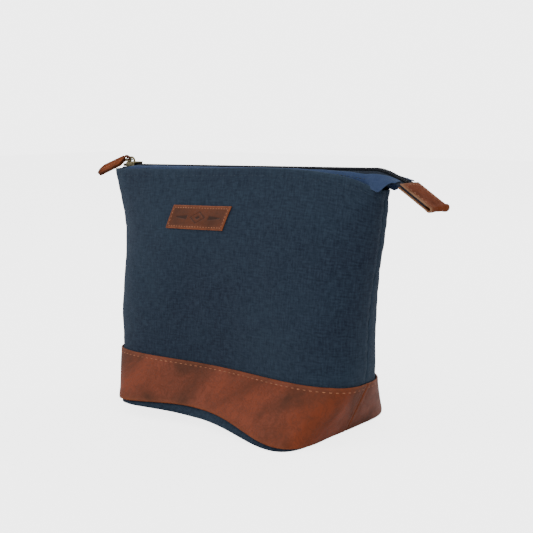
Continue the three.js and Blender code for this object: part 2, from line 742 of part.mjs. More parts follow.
piece('name_patch', namePatch(), leather);
piece('tail_tab', tailTab(), leather);

const sliderGroup = new THREE.Group();
sliderGroup.position.copy(sliderAt);
sliderGroup.rotation.y = -Math.atan(zipSlope);
bag.add(sliderGroup);
piece('slider_body', sliderBody(), brass, sliderGroup);
piece('pull_ring', pullRing(), brass, sliderGroup);
piece('leather_pull', leatherPull(), leather, sliderGroup);

export default bag;
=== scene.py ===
# %% [markdown]
# # A canvas and leather wash bag
#
# The bag is sewn from flat pieces: two canvas walls, a canvas base, a leather band round the foot, a
# lining, and a coil zip between two folded gusset strips. Nothing on it is a block. Every piece here
# is a thin sheet or a cord, so it is worked out as a surface of two parameters with numpy, and each
# sheet gets a real thickness and a rounded cut edge.
#
# The parts of model.glb are loaded first. All shapes are worked out in millimetres, as
# a pattern cutter would, and one function turns them into Blender's metres.

import bpy
import numpy as np
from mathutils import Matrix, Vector


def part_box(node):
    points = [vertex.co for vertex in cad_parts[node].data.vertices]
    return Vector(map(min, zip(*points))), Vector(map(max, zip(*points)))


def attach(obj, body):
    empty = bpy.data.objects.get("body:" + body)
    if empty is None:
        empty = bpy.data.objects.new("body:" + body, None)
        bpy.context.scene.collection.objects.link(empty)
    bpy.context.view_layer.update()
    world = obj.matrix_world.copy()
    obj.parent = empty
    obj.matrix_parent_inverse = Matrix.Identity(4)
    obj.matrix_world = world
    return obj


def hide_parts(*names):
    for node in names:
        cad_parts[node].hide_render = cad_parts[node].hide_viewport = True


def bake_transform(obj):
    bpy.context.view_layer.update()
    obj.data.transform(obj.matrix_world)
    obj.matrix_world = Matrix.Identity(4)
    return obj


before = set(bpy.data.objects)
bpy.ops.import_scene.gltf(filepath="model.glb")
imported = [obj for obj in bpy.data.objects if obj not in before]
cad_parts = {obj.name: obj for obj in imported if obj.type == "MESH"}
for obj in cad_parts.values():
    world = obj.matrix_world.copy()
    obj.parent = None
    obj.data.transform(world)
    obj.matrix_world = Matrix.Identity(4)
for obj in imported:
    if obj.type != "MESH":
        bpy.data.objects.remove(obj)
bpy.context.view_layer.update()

MM = 0.001

# %% [markdown]
# ## Camera, floor and light
#
# The bag is looked at from its front right corner, a little above it. A long lens keeps the base
# from spreading. The light is that of a small studio: one large soft light high on the left, a
# weaker one on the right that draws a sheen on the leather corner, and an even pale room that fills
# the shadows. The floor is plain.

# %% Camera
AZIMUTH, ELEVATION = np.radians(37.96), np.radians(8.59)
LOOK_AT = np.array([24.88, 0.0, 111.96]) * MM
DISTANCE = 736.68 * MM
LENS, SENSOR = 68.26, 36
NEAREST = 0.01

camera_data = bpy.data.cameras.new("camera")
camera_data.lens = LENS
camera_data.sensor_width = SENSOR
camera_data.clip_start = NEAREST
camera = bpy.data.objects.new("camera", camera_data)
bpy.context.collection.objects.link(camera)
back = Vector((np.sin(AZIMUTH) * np.cos(ELEVATION), -np.cos(AZIMUTH) * np.cos(ELEVATION),
               np.sin(ELEVATION)))
camera.location = Vector(LOOK_AT) + back * DISTANCE
camera.rotation_mode = "QUATERNION"
camera.rotation_quaternion = (-back).to_track_quat("-Z", "Y")
bpy.context.scene.camera = camera
print("camera at", [round(v, 3) for v in camera.location])

# %% Floor
FLOOR_HALF = 4.0
FLOOR_GLOW = 3.4                                             # seen by the camera only
floor_mesh = bpy.data.meshes.new("studio_floor")
floor_mesh.from_pydata(
    [(-FLOOR_HALF, -FLOOR_HALF, 0), (FLOOR_HALF, -FLOOR_HALF, 0),
     (FLOOR_HALF, FLOOR_HALF, 0), (-FLOOR_HALF, FLOOR_HALF, 0)], [], [(0, 1, 2, 3)])
floor = bpy.data.objects.new("studio_floor", floor_mesh)
bpy.context.collection.objects.link(floor)
floor_paint = bpy.data.materials.new("studio_floor")
floor_paint.use_nodes = True
floor_nodes = floor_paint.node_tree.nodes
floor_shader = floor_nodes["Principled BSDF"]
floor_shader.inputs["Base Color"].default_value = (0.86, 0.86, 0.86, 1)
floor_shader.inputs["Roughness"].default_value = 0.95
floor_shader.inputs["Specular IOR Level"].default_value = 0.0
floor_shader.inputs["Emission Color"].default_value = (1, 1, 1, 1)
seen = floor_nodes.new("ShaderNodeLightPath")
glow = floor_nodes.new("ShaderNodeMath")
glow.operation = "MULTIPLY"
glow.inputs[1].default_value = FLOOR_GLOW
floor_paint.node_tree.links.new(seen.outputs["Is Camera Ray"], glow.inputs[0])
floor_paint.node_tree.links.new(glow.outputs[0], floor_shader.inputs["Emission Strength"])
floor_mesh.materials.append(floor_paint)

# %% Lights
ROOM, BACKDROP = 0.75, 4.3                                   # light of the room; backdrop as seen
world = bpy.data.worlds.new("pale_room")
world.use_nodes = True
room_nodes, room_links = world.node_tree.nodes, world.node_tree.links
background = room_nodes["Background"]
background.inputs["Color"].default_value = (1, 1, 1, 1)
path = room_nodes.new("ShaderNodeLightPath")
level = room_nodes.new("ShaderNodeMapRange")
level.inputs["To Min"].default_value = ROOM
level.inputs["To Max"].default_value = BACKDROP
room_links.new(path.outputs["Is Camera Ray"], level.inputs["Value"])
room_links.new(level.outputs[0], background.inputs["Strength"])
bpy.context.scene.world = world


def soft_light(name, place, size, watts):
    """A square lamp of the given size, at place, turned towards the middle of the bag."""
    data = bpy.data.lights.new(name, "AREA")
    data.shape = "SQUARE"
    data.size = size
    data.energy = watts
    lamp = bpy.data.objects.new(name, data)
    bpy.context.collection.objects.link(lamp)
    lamp.location = place
    towards = Vector(LOOK_AT) - Vector(place)
    lamp.rotation_mode = "QUATERNION"
    lamp.rotation_quaternion = towards.to_track_quat("-Z", "Y")
    return lamp


soft_light("window_left", (-0.9, -1.1, 1.5), 1.2, 9)
soft_light("sheen_right", (0.5, -1.3, 0.7), 0.5, 4)
soft_light("back_rim", (0.3, 1.4, 1.2), 1.0, 6)
print("three lamps and a room of", ROOM)

# %% [markdown]
# ## The wall's shape
#
# The wall is a loft. At five heights its outline is a superellipse, which is a rectangle with round
# corners at the foot and a slim lens at the mouth, and its long sides bow inwards where the cloth
# sags. It could be modelled by pulling a box about, but a formula keeps canvas, leather, lining and
# every stitch on one common surface. The outlines are worked out once, as a table with equal steps
# of length, and all that lies on the wall reads its place from that table.

# %% Curve through points
def through(xs, ys, x, first=None, last=None):
    """Cubic curve through points: at each point it has the slope of the line between its neighbours."""
    xs, ys, x = (np.asarray(v, float) for v in (xs, ys, x))
    slope = np.empty(len(xs))
    slope[1:-1] = (ys[2:] - ys[:-2]) / (xs[2:] - xs[:-2])
    slope[0] = (ys[1] - ys[0]) / (xs[1] - xs[0]) if first is None else first
    slope[-1] = (ys[-1] - ys[-2]) / (xs[-1] - xs[-2]) if last is None else last
    i = np.clip(np.searchsorted(xs, x) - 1, 0, len(xs) - 2)
    span = xs[i + 1] - xs[i]
    t = np.clip((x - xs[i]) / span, 0, 1)
    return (ys[i] * (1 + 2 * t) * (1 - t) ** 2 + slope[i] * span * t * (1 - t) ** 2
            + ys[i + 1] * t * t * (3 - 2 * t) + slope[i + 1] * span * t * t * (t - 1))


def smooth(t):
    """S-shaped step from 0 to 1 as t goes from 0 to 1."""
    t = np.clip(t, 0, 1)
    return t * t * (3 - 2 * t)


def mix(a, b, t):
    """a at t 0, b at t 1."""
    return a + (b - a) * t


def hill(distance, width):
    """Bell-shaped hill: 1 at distance 0, fading on both sides as exp(-(distance / width)^2)."""
    return np.exp(-(distance / width) ** 2)


def bulged(value, power):
    """A sine or cosine raised to a power with its sign kept, as a superellipse needs."""
    return np.sign(value) * np.abs(value) ** power


# %% Sizes of the wall
SEAM = round(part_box("front_canvas_panel")[1].x / MM)          # middle of the bag to a side seam
BAND = 39.0                                                   # height of the leather
RIM = 181.0
RIM_RISE = ([-1, -0.28, 0.28, 0.6, 0.84, 1], [-2.2, 0.8, 3.6, 2.8, -1.2, -8.7])
LIFT = 7.5                                                    # arch of the base's long edges
LEFT_LIFT, LEFT_LIFT_FADE = 9.5, 1.5                          # left end of the base off the floor
LEVEL = [0, 0.3, 1, 1.36, 1.72, 2]                            # base, ..., band's edge, ..., rim
SHAPE = {
    "left": [71.5, 82, 109, 111, 113.5, SEAM],
    "right": [92.5, 98.5, 111.5, 114, 121, SEAM],
    "depth": [69.5, 62.5, 41, 36, 29.5, 13.5],
    "bow": [13.7, 15, 13, 9, 3.5, 0],
    "square": [6.5, 4.8, 2.9, 2.7, 2.6, 4],
}
CANVAS, LEATHER, LINING = 1.2, 1.4, 0.5                       # thicknesses
LEATHER_GAP = 0.6                                             # leather stands this far off the canvas
print("side seam", SEAM, "mm from the middle")


def rim_height(x):
    """Height of the mouth's edge at x."""
    return RIM + through(RIM_RISE[0], RIM_RISE[1], np.asarray(x) / SEAM)


def shape_at(key, level):
    """One of the outline's sizes at a level."""
    return through(LEVEL, SHAPE[key], level)


# %% Table of the wall
ROWS, COLUMNS, FINE = 401, 1201, 2400


def wall_table():
    """Front half of the outline at every level, with points at equal steps of length along it.
    x = share of the half length, y = -(depth - bow (1 - share^2)^2) |sin|^(2/n), share = cos^(2/n)."""
    level = np.linspace(0, 2, ROWS)[:, None]
    angle = np.pi * (1 - np.linspace(0, 1, FINE))[None, :]
    power = 2 / shape_at("square", level)
    share = bulged(np.cos(angle), power)
    x = share * np.where(share < 0, shape_at("left", level), shape_at("right", level))
    sag = shape_at("bow", level) * (1 - share ** 2) ** 2
    y = -(shape_at("depth", level) - sag) * np.abs(np.sin(angle)) ** power
    y[:, [0, -1]] = 0
    drawn_up = LEFT_LIFT * smooth(-share) * np.maximum(1 - level, 0) ** LEFT_LIFT_FADE
    foot = mix(LIFT * (1 - share ** 2) ** 2, BAND, np.minimum(level, 1)) + drawn_up
    z = np.where(level < 1, foot, mix(BAND, rim_height(x), level - 1))
    points = np.stack([x, y, z], -1)
    step = np.linalg.norm(np.diff(points, axis=1), axis=2)
    length = np.concatenate([np.zeros((ROWS, 1)), np.cumsum(step, axis=1)], axis=1)
    even = np.linspace(0, 1, COLUMNS)
    table = np.stack([
        np.stack([np.interp(even, length[r] / length[r, -1], points[r, :, k]) for k in range(3)], -1)
        for r in range(ROWS)])
    return table, length[:, -1]


def across(points):
    """Direction square to a grid of points, from its steps along and up."""
    normal = np.cross(np.gradient(points, axis=1), np.gradient(points, axis=0))
    return normal / np.maximum(np.linalg.norm(normal, axis=-1, keepdims=True), 1e-12)


WALL, LENGTH = wall_table()
WALL_NORMAL = across(WALL)
WALL_NORMAL[:, [0, -1], 1] = 0
print("mouth, from seam to seam:", round(float(LENGTH[-1]), 1), "mm of canvas")


def look_up(table, u, level):
    """Value of a table of the wall at share u from the left seam and at a level."""
    r = np.clip(np.asarray(level, float) / 2, 0, 1) * (ROWS - 1)
    c = np.clip(np.asarray(u, float), 0, 1) * (COLUMNS - 1)
    r, c = np.broadcast_arrays(r, c)
    r0 = np.minimum(r.astype(int), ROWS - 2)
    c0 = np.minimum(c.astype(int), COLUMNS - 2)
    a, b = (r - r0)[..., None], (c - c0)[..., None]
    under = mix(table[r0, c0], table[r0, c0 + 1], b)
    over = mix(table[r0 + 1, c0], table[r0 + 1, c0 + 1], b)
    return mix(under, over, a)


def wall(u, level):
    """Points of the front wall and the outward directions there."""
    normal = look_up(WALL_NORMAL, u, level)
    return look_up(WALL, u, level), normal / np.linalg.norm(normal, axis=-1, keepdims=True)


# %% [markdown]
# ## From numbers to meshes
#
# Three small makers cover the whole bag. A sheet is two faces that meet in a round edge, as cut and
# turned cloth does, so it needs no modifier and is always closed. A tube is a ring of points carried
# along a path. A thread row is one low stitch repeated along a line, and each stitch has only thirty
# faces, because there are hundreds. Each piece also gets a UV map in millimetres, which cloth
# patterns follow, and an attribute "edge" that is 1 on a cut edge and fades in from it.

# %% Mesh from points and faces
def make_object(name, points, faces, uv=None, edge=None):
    """Object with points in millimetres. Its place is in its mesh."""
    mesh = bpy.data.meshes.new(name)
    mesh.from_pydata((np.asarray(points) * MM).tolist(), [], [list(f) for f in faces])
    if uv is not None:
        corner = np.empty(len(mesh.loops), np.int32)
        mesh.loops.foreach_get("vertex_index", corner)
        layer = mesh.uv_layers.new(name="cloth_mm")
        layer.data.foreach_set("uv", np.asarray(uv, np.float32)[corner].ravel())
    shade = mesh.attributes.new("edge", "FLOAT", "POINT")
    values = np.zeros(len(mesh.vertices)) if edge is None else edge
    shade.data.foreach_set("value", np.asarray(values, np.float32).ravel())
    mesh.polygons.foreach_set("use_smooth", np.ones(len(mesh.polygons), bool))
    mesh.update()
    piece = bpy.data.objects.new(name, mesh)
    bpy.context.collection.objects.link(piece)
    return piece


def quads(index):
    """Faces of a grid of point numbers."""
    return np.stack([index[:-1, :-1], index[:-1, 1:], index[1:, 1:], index[1:, :-1]], -1).reshape(-1, 4)


def round_edge(distance, radius):
    """Half thickness of a sheet, as a share, at a distance from its round edge: a quarter circle."""
    t = np.clip(distance / radius, 0, 1)
    return np.sqrt(np.maximum(1 - (1 - t) ** 2, 0))


def sheet(name, middle, half, uv, radius=None):
    """Closed sheet about a grid of middle points. Both faces lie half a thickness from it, and come
    together on its border in a round edge of the given radius."""
    rows, columns = middle.shape[:2]
    along = np.concatenate([np.zeros((rows, 1)),
                            np.cumsum(np.linalg.norm(np.diff(middle, axis=1), axis=2), axis=1)], 1)
    up = np.concatenate([np.zeros((1, columns)),
                         np.cumsum(np.linalg.norm(np.diff(middle, axis=0), axis=2), axis=0)], 0)
    distance = np.minimum(np.minimum(along, along[:, -1:] - along), np.minimum(up, up[-1:] - up))
    offset = across(middle) * (half * round_edge(distance, radius or half))[..., None]
    outer = np.arange(rows * columns).reshape(rows, columns)
    inside = np.zeros((rows, columns), bool)
    inside[1:-1, 1:-1] = True
    inner = outer.copy()
    inner[inside] = rows * columns + np.arange(inside.sum())
    points = np.concatenate([(middle + offset).reshape(-1, 3), (middle - offset)[inside]])
    points[outer[~inside]] = middle[~inside]
    worn = np.exp(-distance / 1.2)
    return make_object(
        name, points, np.concatenate([quads(outer), quads(inner)[:, ::-1]]).tolist(),
        np.concatenate([uv.reshape(-1, 2), uv[inside]]), np.concatenate([worn.ravel(), worn[inside]]))


def edged(length, count, fine=(0.0, 0.08, 0.3, 0.7, 1.4)):
    """Places from 0 to length, closer together at both ends, where an edge turns."""
    fine = np.array(fine)
    return np.concatenate([fine, np.linspace(fine[-1], length - fine[-1], count)[1:-1],
                           (length - fine)[::-1]])


def back_half(points):
    """Mirror image behind the bag, with its columns turned round so that it still faces outwards."""
    return points[:, ::-1] * np.array([1, -1, 1])


# %% Tube along a path
def tube(name, path, radius, sides=8, hint=(0, 0, 1), closed=False, flat=1.0):
    """Round cord: rings of points about a path, square to it. A closed path joins its own start."""
    way = np.gradient(path, axis=0)
    if closed:
        way = np.roll(path, -1, axis=0) - np.roll(path, 1, axis=0)
    way /= np.linalg.norm(way, axis=1, keepdims=True)
    side = np.cross(way, np.asarray(hint, float))
    side /= np.linalg.norm(side, axis=1, keepdims=True)
    other = np.cross(side, way)
    turn = np.linspace(0, 2 * np.pi, sides, endpoint=False)
    ring = (side[:, None] * np.cos(turn)[None, :, None]
            + other[:, None] * np.sin(turn)[None, :, None] * flat) * radius
    points = (path[:, None] + ring).reshape(-1, 3)
    count = len(path)
    index = np.arange(count * sides).reshape(count, sides)
    index = np.concatenate([index, index[:, :1]], 1)
    if closed:
        index = np.concatenate([index, index[:1]], 0)
    faces = quads(index)[:, ::-1].tolist()
    if not closed:
        faces += [index[0, :-1].tolist(), index[-1, :-1][::-1].tolist()]
    return make_object(name, points, faces)


# %% Row of stitches
STITCH_GRID = (5, 6)                                          # rings along a stitch, points in a ring
STITCH_TAPER, STITCH_DIVE = 0.92, 1.1                         # its ends are thin and dip into the cloth


def thread_row(name, points, normals, pitch, length, radius, sink=0.35):
    """One stitch after another along a line on a surface. A stitch is a bead of thread, stretched
    along the line, whose ends dip below the surface. pitch and length are in millimetres."""
    points, normals = np.asarray(points, float), np.asarray(normals, float)
    travel = np.concatenate([[0], np.cumsum(np.linalg.norm(np.diff(points, axis=0), axis=1))])
    count = max(int(travel[-1] / pitch), 1)
    at = (np.arange(count) + 0.5) * travel[-1] / count

    def along(values, s):
        return np.stack([np.interp(s, travel, values[:, k]) for k in range(3)], -1)
    place, up = along(points, at), along(normals, at)
    way = along(points, at + length / 3) - along(points, at - length / 3)
    way /= np.linalg.norm(way, axis=1, keepdims=True)
    up -= way * (up * way).sum(1, keepdims=True)
    up /= np.linalg.norm(up, axis=1, keepdims=True)
    side = np.cross(up, way)
    steps, sides = STITCH_GRID
    s = np.linspace(-1, 1, steps)[:, None]
    turn = np.linspace(0, 2 * np.pi, sides, endpoint=False)[None, :]
    fat = np.sqrt(np.maximum(1 - STITCH_TAPER * s ** 4, 0))
    low = radius * (sink + STITCH_DIVE * s ** 4)
    local = np.stack([s * length / 2 + 0 * turn, radius * fat * np.cos(turn),
                      radius * fat * np.sin(turn) - low], -1).reshape(-1, 3)
    stitched = place[:, None] + local[None, :, :1] * way[:, None]
    stitched = stitched + local[None, :, 1:2] * side[:, None] + local[None, :, 2:] * up[:, None]
    index = np.arange(steps * sides).reshape(steps, sides)
    index = np.concatenate([index, index[:, :1]], 1)
    one = quads(index)
    caps = [index[0, :-1][::-1], index[-1, :-1]]
    shift = (np.arange(count) * steps * sides)[:, None, None]
    faces = (one[None] + shift).reshape(-1, 4).tolist()
    for cap in caps:
        faces += (cap[None] + shift[:, 0]).tolist()
    print(name, count, "stitches")
    return make_object(name, stitched.reshape(-1, 3), faces)


# %% [markdown]
# ## Pieces of the mouth
#
# The slider opens the zip, and the two walls lean apart. They stay sewn together at the side seams,
# so the mouth opens as a lens and not as a lid. Here every piece of the mouth only has its transform
# baked into its mesh; it is not bent.


def opens_with(piece):
    """Bakes a piece's transform into its mesh and reads its points; the piece is not bent."""
    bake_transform(piece)
    co = np.empty(len(piece.data.vertices) * 3, np.float32)
    piece.data.vertices.foreach_get("co", co)


# %% [markdown]
# ## Uneven cloth
#
# Canvas that has been sewn, turned and filled is never a clean surface. It is shallowly dented in
# the middle, it puckers where a seam holds it tighter, and it stands up where it is folded double,
# along the mouth and along the side seam. These are small moves along the surface's own normal: a
# sum of sine waves in random directions makes the dents, and a ripple that dies away from the seam
# makes the puckers.

# %% Dents and puckers
SEAM_STRIP = 5.0                                              # folded allowance beside a side seam
HEM = 7.0                                                     # folded allowance below the rim
HEM_THREAD, SEAM_THREAD = 1.6, 1.7                            # their thread, in from the fold's edge
DENT, DENT_SPAN = 1.0, 105                                    # large dents: height, longest wave
CRUMPLE, CRUMPLE_SPAN = 0.18, 26                              # small ones
PUCKER, PUCKER_REACH, PUCKER_PITCH = 0.32, 9, 13              # ripples beside the side seams
GATHER, GATHER_REACH, GATHER_PITCH = 0.22, 3, 9               # ripples along the hem's thread
RIGHT_FOLD, LEFT_FOLD, HEM_FOLD = 0.35, 0.2, 0.35             # doubled cloth stands up this far
HEM_DRAWN, SEAM_DRAWN, SEAM_DIP = 0.30, 0.25, 0.7             # depths under thread and at the seam


def waves(p, q, seed, longest, count=10):
    """Uneven field over p and q: sine waves in random directions, each shorter and lower."""
    rng = np.random.default_rng(seed)
    total = 0
    for k in range(count):
        turn, phase = rng.uniform(0, 2 * np.pi, 2)
        along = p * np.cos(turn) + q * np.sin(turn)
        total = total + np.sin(2 * np.pi * along * 1.33 ** k / longest + phase) / 1.42 ** k
    return total / 2


def canvas_relief(u, level, seed):
    """How far the canvas stands off its smooth shape, in millimetres, at a place of the wall."""
    length = look_up(LENGTH[:, None, None] * np.ones((1, COLUMNS, 1)), u, level)[..., 0]
    left, right = u * length, (1 - u) * length
    down = (2 - level) * (RIM - BAND)
    above = (level - 1) * (RIM - BAND)
    near = np.minimum(left, right)
    held = smooth(near / 25) * smooth(down / 20) * smooth(above / 30)
    dent = DENT * waves(left, down * 0.7, seed, DENT_SPAN) * held
    crumple = CRUMPLE * waves(left, down, seed + 1, CRUMPLE_SPAN) * smooth(near / 8)
    ripple = np.sin(2 * np.pi * down / PUCKER_PITCH + 2 * waves(down, 0, seed + 2, 60))
    pucker = PUCKER * np.exp(-near / PUCKER_REACH) * ripple
    ripple = np.sin(2 * np.pi * left / GATHER_PITCH + waves(left, 0, seed + 3, 50))
    gather = GATHER * np.exp(-np.abs(down - HEM) / GATHER_REACH) * ripple * smooth(near / 6)
    strip = (RIGHT_FOLD * (1 - smooth((right - SEAM_STRIP + 0.5) / 1.0))
             + LEFT_FOLD * (1 - smooth((left - SEAM_STRIP) / 1.0)))
    hem = HEM_FOLD * (1 - smooth((down - HEM) / 1.2))
    drawn = (-HEM_DRAWN * hill(down - HEM + HEM_THREAD, 0.7)
             - SEAM_DRAWN * hill(right - SEAM_STRIP + SEAM_THREAD, 0.6))
    seam = -SEAM_DIP * hill(near, 1.1)
    return dent + crumple + pucker + gather + strip + hem + drawn + seam


def wall_sheet(name, u_mm, level, outer, inner, relief, side, radius=None):
    """Sheet that lies on the wall between two offsets. u_mm runs along the mouth's length; level is
    a column of rows, or a grid."""
    u = u_mm[None, :] / LENGTH[-1]
    level = np.broadcast_to(level if level.ndim == 2 else level[:, None], (len(level), len(u_mm)))
    u = np.broadcast_to(u, level.shape)
    points, normal = wall(u, level)
    middle = points + normal * ((outer + inner) / 2 + relief(u, level))[..., None]
    height = np.where(level < 1, level * BAND, BAND + (level - 1) * (RIM - BAND))
    uv = np.stack([u * LENGTH[-1], height], -1)
    if side == "back":
        middle, uv = back_half(middle), uv[:, ::-1] + np.array([400.0, 0])
    return sheet(name, middle, (outer - inner) / 2, uv, radius)


# %% [markdown]
# ## Canvas walls
#
# Each wall is one panel of washed twill. It goes from just behind the leather's top edge, over its
# fold at the side seams, to the turned hem at the mouth. The grid is fine enough, at about a
# millimetre and a half, for every pucker to be real shape and not only shading.

# %% Front and back canvas
SEAM_GAP = 0.15
CANVAS_FOOT = 1 - 3.0 / BAND
panel_u = SEAM_GAP + edged(LENGTH[-1] - 2 * SEAM_GAP, 190)
panel_rows = CANVAS_FOOT + edged((2 - CANVAS_FOOT) * (RIM - BAND), 104) / (RIM - BAND)
CANVAS_SEED = {"front": 11, "back": 23}


def panel_relief(seed):
    """The canvas's unevenness, which dies away where the panel goes behind the leather."""
    def relief(u, level):
        return canvas_relief(u, level, seed) * smooth((level - 1) * 20)
    return relief


canvas_pieces = {
    side: wall_sheet(f"{side}_canvas", panel_u, panel_rows, 0, -CANVAS, panel_relief(seed), side, 0.6)
    for side, seed in CANVAS_SEED.items()}
print("canvas panel:", len(canvas_pieces["front"].data.polygons), "faces")

# %% [markdown]
# ## Leather band
#
# The band is two strips of waxed leather, a front and a back one, joined at the side seams. Leather
# is stiffer than canvas, so it has long shallow swells and no puckers, a crisp cut edge along the
# top, and a soft arched edge at the foot where it is turned over the base. Near the seam it carries a
# pressed fold line.

# %% Front and back leather
BAND_FOOT, BAND_ARCH = 1.8, 4.7
FOLD_LINE, FOLD_DEPTH = 4.2, 0.22                             # pressed line beside the side seam
SEAM_ROLL, FOOT_ROLL = 0.5, 0.35                              # edges roll inwards this far
BAND_THREAD, BAND_GROOVE = 3.2, 0.16                          # thread below the top edge, its groove
SWELL, SWELL_SPAN = 0.55, 120
LEATHER_SEED = {"front": 31, "back": 37}


def foot_level(u):
    """Level of the leather's lower edge: it arches in the middle of the front and back."""
    share = look_up(WALL, u, 0 * u)[..., 0]
    share = share / np.where(share < 0, SHAPE["left"][0], SHAPE["right"][0])
    return (BAND_FOOT + BAND_ARCH * (1 - share ** 2) ** 2) / BAND


def leather_relief(seed):
    """Long swells, a pressed line beside the seam, and edges rolled inwards."""
    def relief(u, level):
        length = LENGTH[-1]
        side = np.minimum(u, 1 - u) * length
        swell = SWELL * waves(u * length, level * BAND, seed, SWELL_SPAN, 6) * smooth((1 - level) * 4)
        line = -FOLD_DEPTH * hill(side - FOLD_LINE, 0.45) - SEAM_ROLL * hill(side, 0.9)
        rolled = -FOOT_ROLL * hill((level - foot_level(u)) * BAND, 1.6)
        under_thread = -BAND_GROOVE * hill((1 - level) * BAND - BAND_THREAD, 0.8)
        return swell + line + rolled + under_thread
    return relief


band_u = SEAM_GAP + edged(LENGTH[-1] - 2 * SEAM_GAP, 200)
band_v = edged(BAND, 34) / BAND
band_grid = mix(foot_level(band_u / LENGTH[-1])[None, :], 1.0, band_v[:, None])
leather_pieces = {
    side: wall_sheet(f"{side}_leather", band_u, band_grid, LEATHER_GAP + LEATHER, LEATHER_GAP,
                     leather_relief(seed), side, 0.7)
    for side, seed in LEATHER_SEED.items()}
print("leather band:", len(leather_pieces["front"].data.polygons), "faces")

# %% [markdown]
# ## Base and lining
#
# The base is a canvas dish: flat where it stands, rising to an arch under the middle of each long
# side, and turned up behind the leather. It is a grid of rings, closed at the middle. The linings
# are plain sheets inside the walls and the base.

# %% Base dish
BASE_MIDDLE = (SHAPE["right"][0] - SHAPE["left"][0]) / 2
BASE_FLAT, BASE_EASE, BASE_LIP = 0.45, 0.5, 10.0
BASE_LINING_IN, BASE_LINING_GAP = 9.2, 0.3                    # in from the outline, above the canvas


def around_wall(turn, level):
    """Points and normals of the whole outline: turn 0 to 0.5 is the front, 0.5 to 1 the back."""
    front = turn <= 0.5
    points, normal = wall(np.where(front, 2 * turn, 2 - 2 * turn), level)
    flip = np.where(front, 1.0, -1.0)[..., None] * np.array([0, 1, 0]) + np.array([1, 0, 1])
    return points * flip, normal * flip


def dish(name, rings, lip, inset, low, thickness):
    """Two-faced disc of rings. A ring up to 1 lies on the floor and rises towards the edge; a lip of
    rings follows the wall upwards. Both faces share their outermost ring."""
    turn = np.linspace(0, 1, 241)[:-1][None, :]
    r = np.asarray(rings)[:, None]

    def face(depth, z):
        """One face of the dish, this deep inside the outline and this high off the floor."""
        edge, _ = around_wall(turn, 0 * turn)
        rise = edge[..., 2] * smooth((r - BASE_FLAT) / (1 - BASE_FLAT))
        way = edge - np.array([BASE_MIDDLE, 0, 0])
        way[..., 2] = 0
        length = np.linalg.norm(way, axis=-1, keepdims=True)
        flat = np.array([BASE_MIDDLE, 0, 0]) + way * (r[..., None] * (length - inset - depth) / length)
        flat[..., 2] = rise + z
        if not len(lip):
            return flat
        level = np.asarray(lip)[:, None] / BAND + 0 * turn
        points, normal = around_wall(turn + 0 * level, level)
        return np.concatenate([flat, points - normal * (BASE_EASE + depth)])
    under, upper = face(0, low), face(thickness, low + thickness)
    both = np.concatenate([under, upper[::-1]])
    rows, count = both.shape[:2]
    index = np.arange(rows * count).reshape(rows, count)
    index[0], index[-1] = 0, (rows - 1) * count
    index = np.concatenate([index, index[:, :1]], 1)
    faces = [[v for k, v in enumerate(f) if v != f[k - 1]] for f in quads(index).tolist()]
    return make_object(name, both.reshape(-1, 3), faces, both[..., :2].reshape(-1, 2))


base_rings = np.concatenate([[0.0], np.linspace(0.1, 0.94, 22), [0.97, 0.99, 1.0]])
base_piece = dish("base_canvas", base_rings, np.linspace(0.8, BASE_LIP, 8), BASE_EASE, 0.0, CANVAS)
base_lining_piece = dish("base_lining_cloth", np.linspace(0, 1, 20), [], BASE_LINING_IN,
                         CANVAS + BASE_LINING_GAP, LINING)
print("base:", len(base_piece.data.polygons), "faces")

# %% Wall linings
LINING_OUT, LINING_SLACK, LINING_SPAN = 2.6, 0.25, 60         # inside the canvas; its slack swells
LINING_START, LINING_END = 7.5, 7.0                           # above the foot, below the rim
lining_u = SEAM_GAP + edged(LENGTH[-1] - 2 * SEAM_GAP, 90)
lining_rows = np.linspace(LINING_START / BAND, 2 - LINING_END / (RIM - BAND), 60)


def lining_relief(seed):
    """Slack swells of the lining, all of them inwards."""
    def relief(u, level):
        swell = waves(u * LENGTH[-1], level * LINING_SPAN, seed, LINING_SPAN)
        return LINING_SLACK * swell - LINING_SLACK
    return relief


lining_pieces = {
    side: wall_sheet(f"{side}_lining_cloth", lining_u, lining_rows, -LINING_OUT, -LINING_OUT - LINING,
                     lining_relief(seed), side)
    for side, seed in (("front", 41), ("back", 43))}
print("linings made")

# %% [markdown]
# ## Zip tapes and gussets
#
# In a cross-section the zip tape and its gusset share one line: level beside the teeth, then turning
# down inside the wall, where both are sewn in. Past the right side seam they run on together as a
# tail that falls to the leather tab. The line is a quarter of a superellipse between the teeth and
# the gusset's outer edge, and both edges are functions of x, so one formula covers the mouth and the
# tail.

# %% The zip's line
ZIP_HEIGHT, ZIP_SLOPE = 182.3, 0.0182
TAPE, TAPE_START, TAPE_WIDTH = 0.5, 0.6, 12.0
COIL_START, COIL_WIDTH, COIL_HEIGHT = 0.15, 2.6, 2.1
GUSSET, GUSSET_START, GUSSET_GAP, GUSSET_ALLOWANCE = 0.6, 5.3, 0.6, 5.5
ZIP_LEFT = -SEAM + 7.2
TAB_ROOT = np.array([SEAM + 16.5, 0, 176.4])
TAB_DROOP = np.radians(33)
TAIL_STRAIGHT, TAIL_POINTS = -14.0, ((-6, 184.4), (1, 182.9), (9, 179.7))
GUSSET_END, HELD_UNTIL = 14.0, -12.0                          # past the side seam
LEAVES_WALL, OVER_RIM = (-19.0, -1.0), -1.0                   # its edge comes out over the rim
WALL_ROOM, GUSSET_ROOM, TAIL_ROOM = 0.3, 1.5, 0.3             # clear of the wall, and of the tab
SQUARE_LEFT, SQUARE_RIGHT, SQUARE_SPAN = 5, 2.4, 200          # squareness of the line, over 200 mm
TAB_HALF = round(float(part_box("tail_tab")[1].y / MM), 2)
SLIDER_X = -SEAM + 16.2
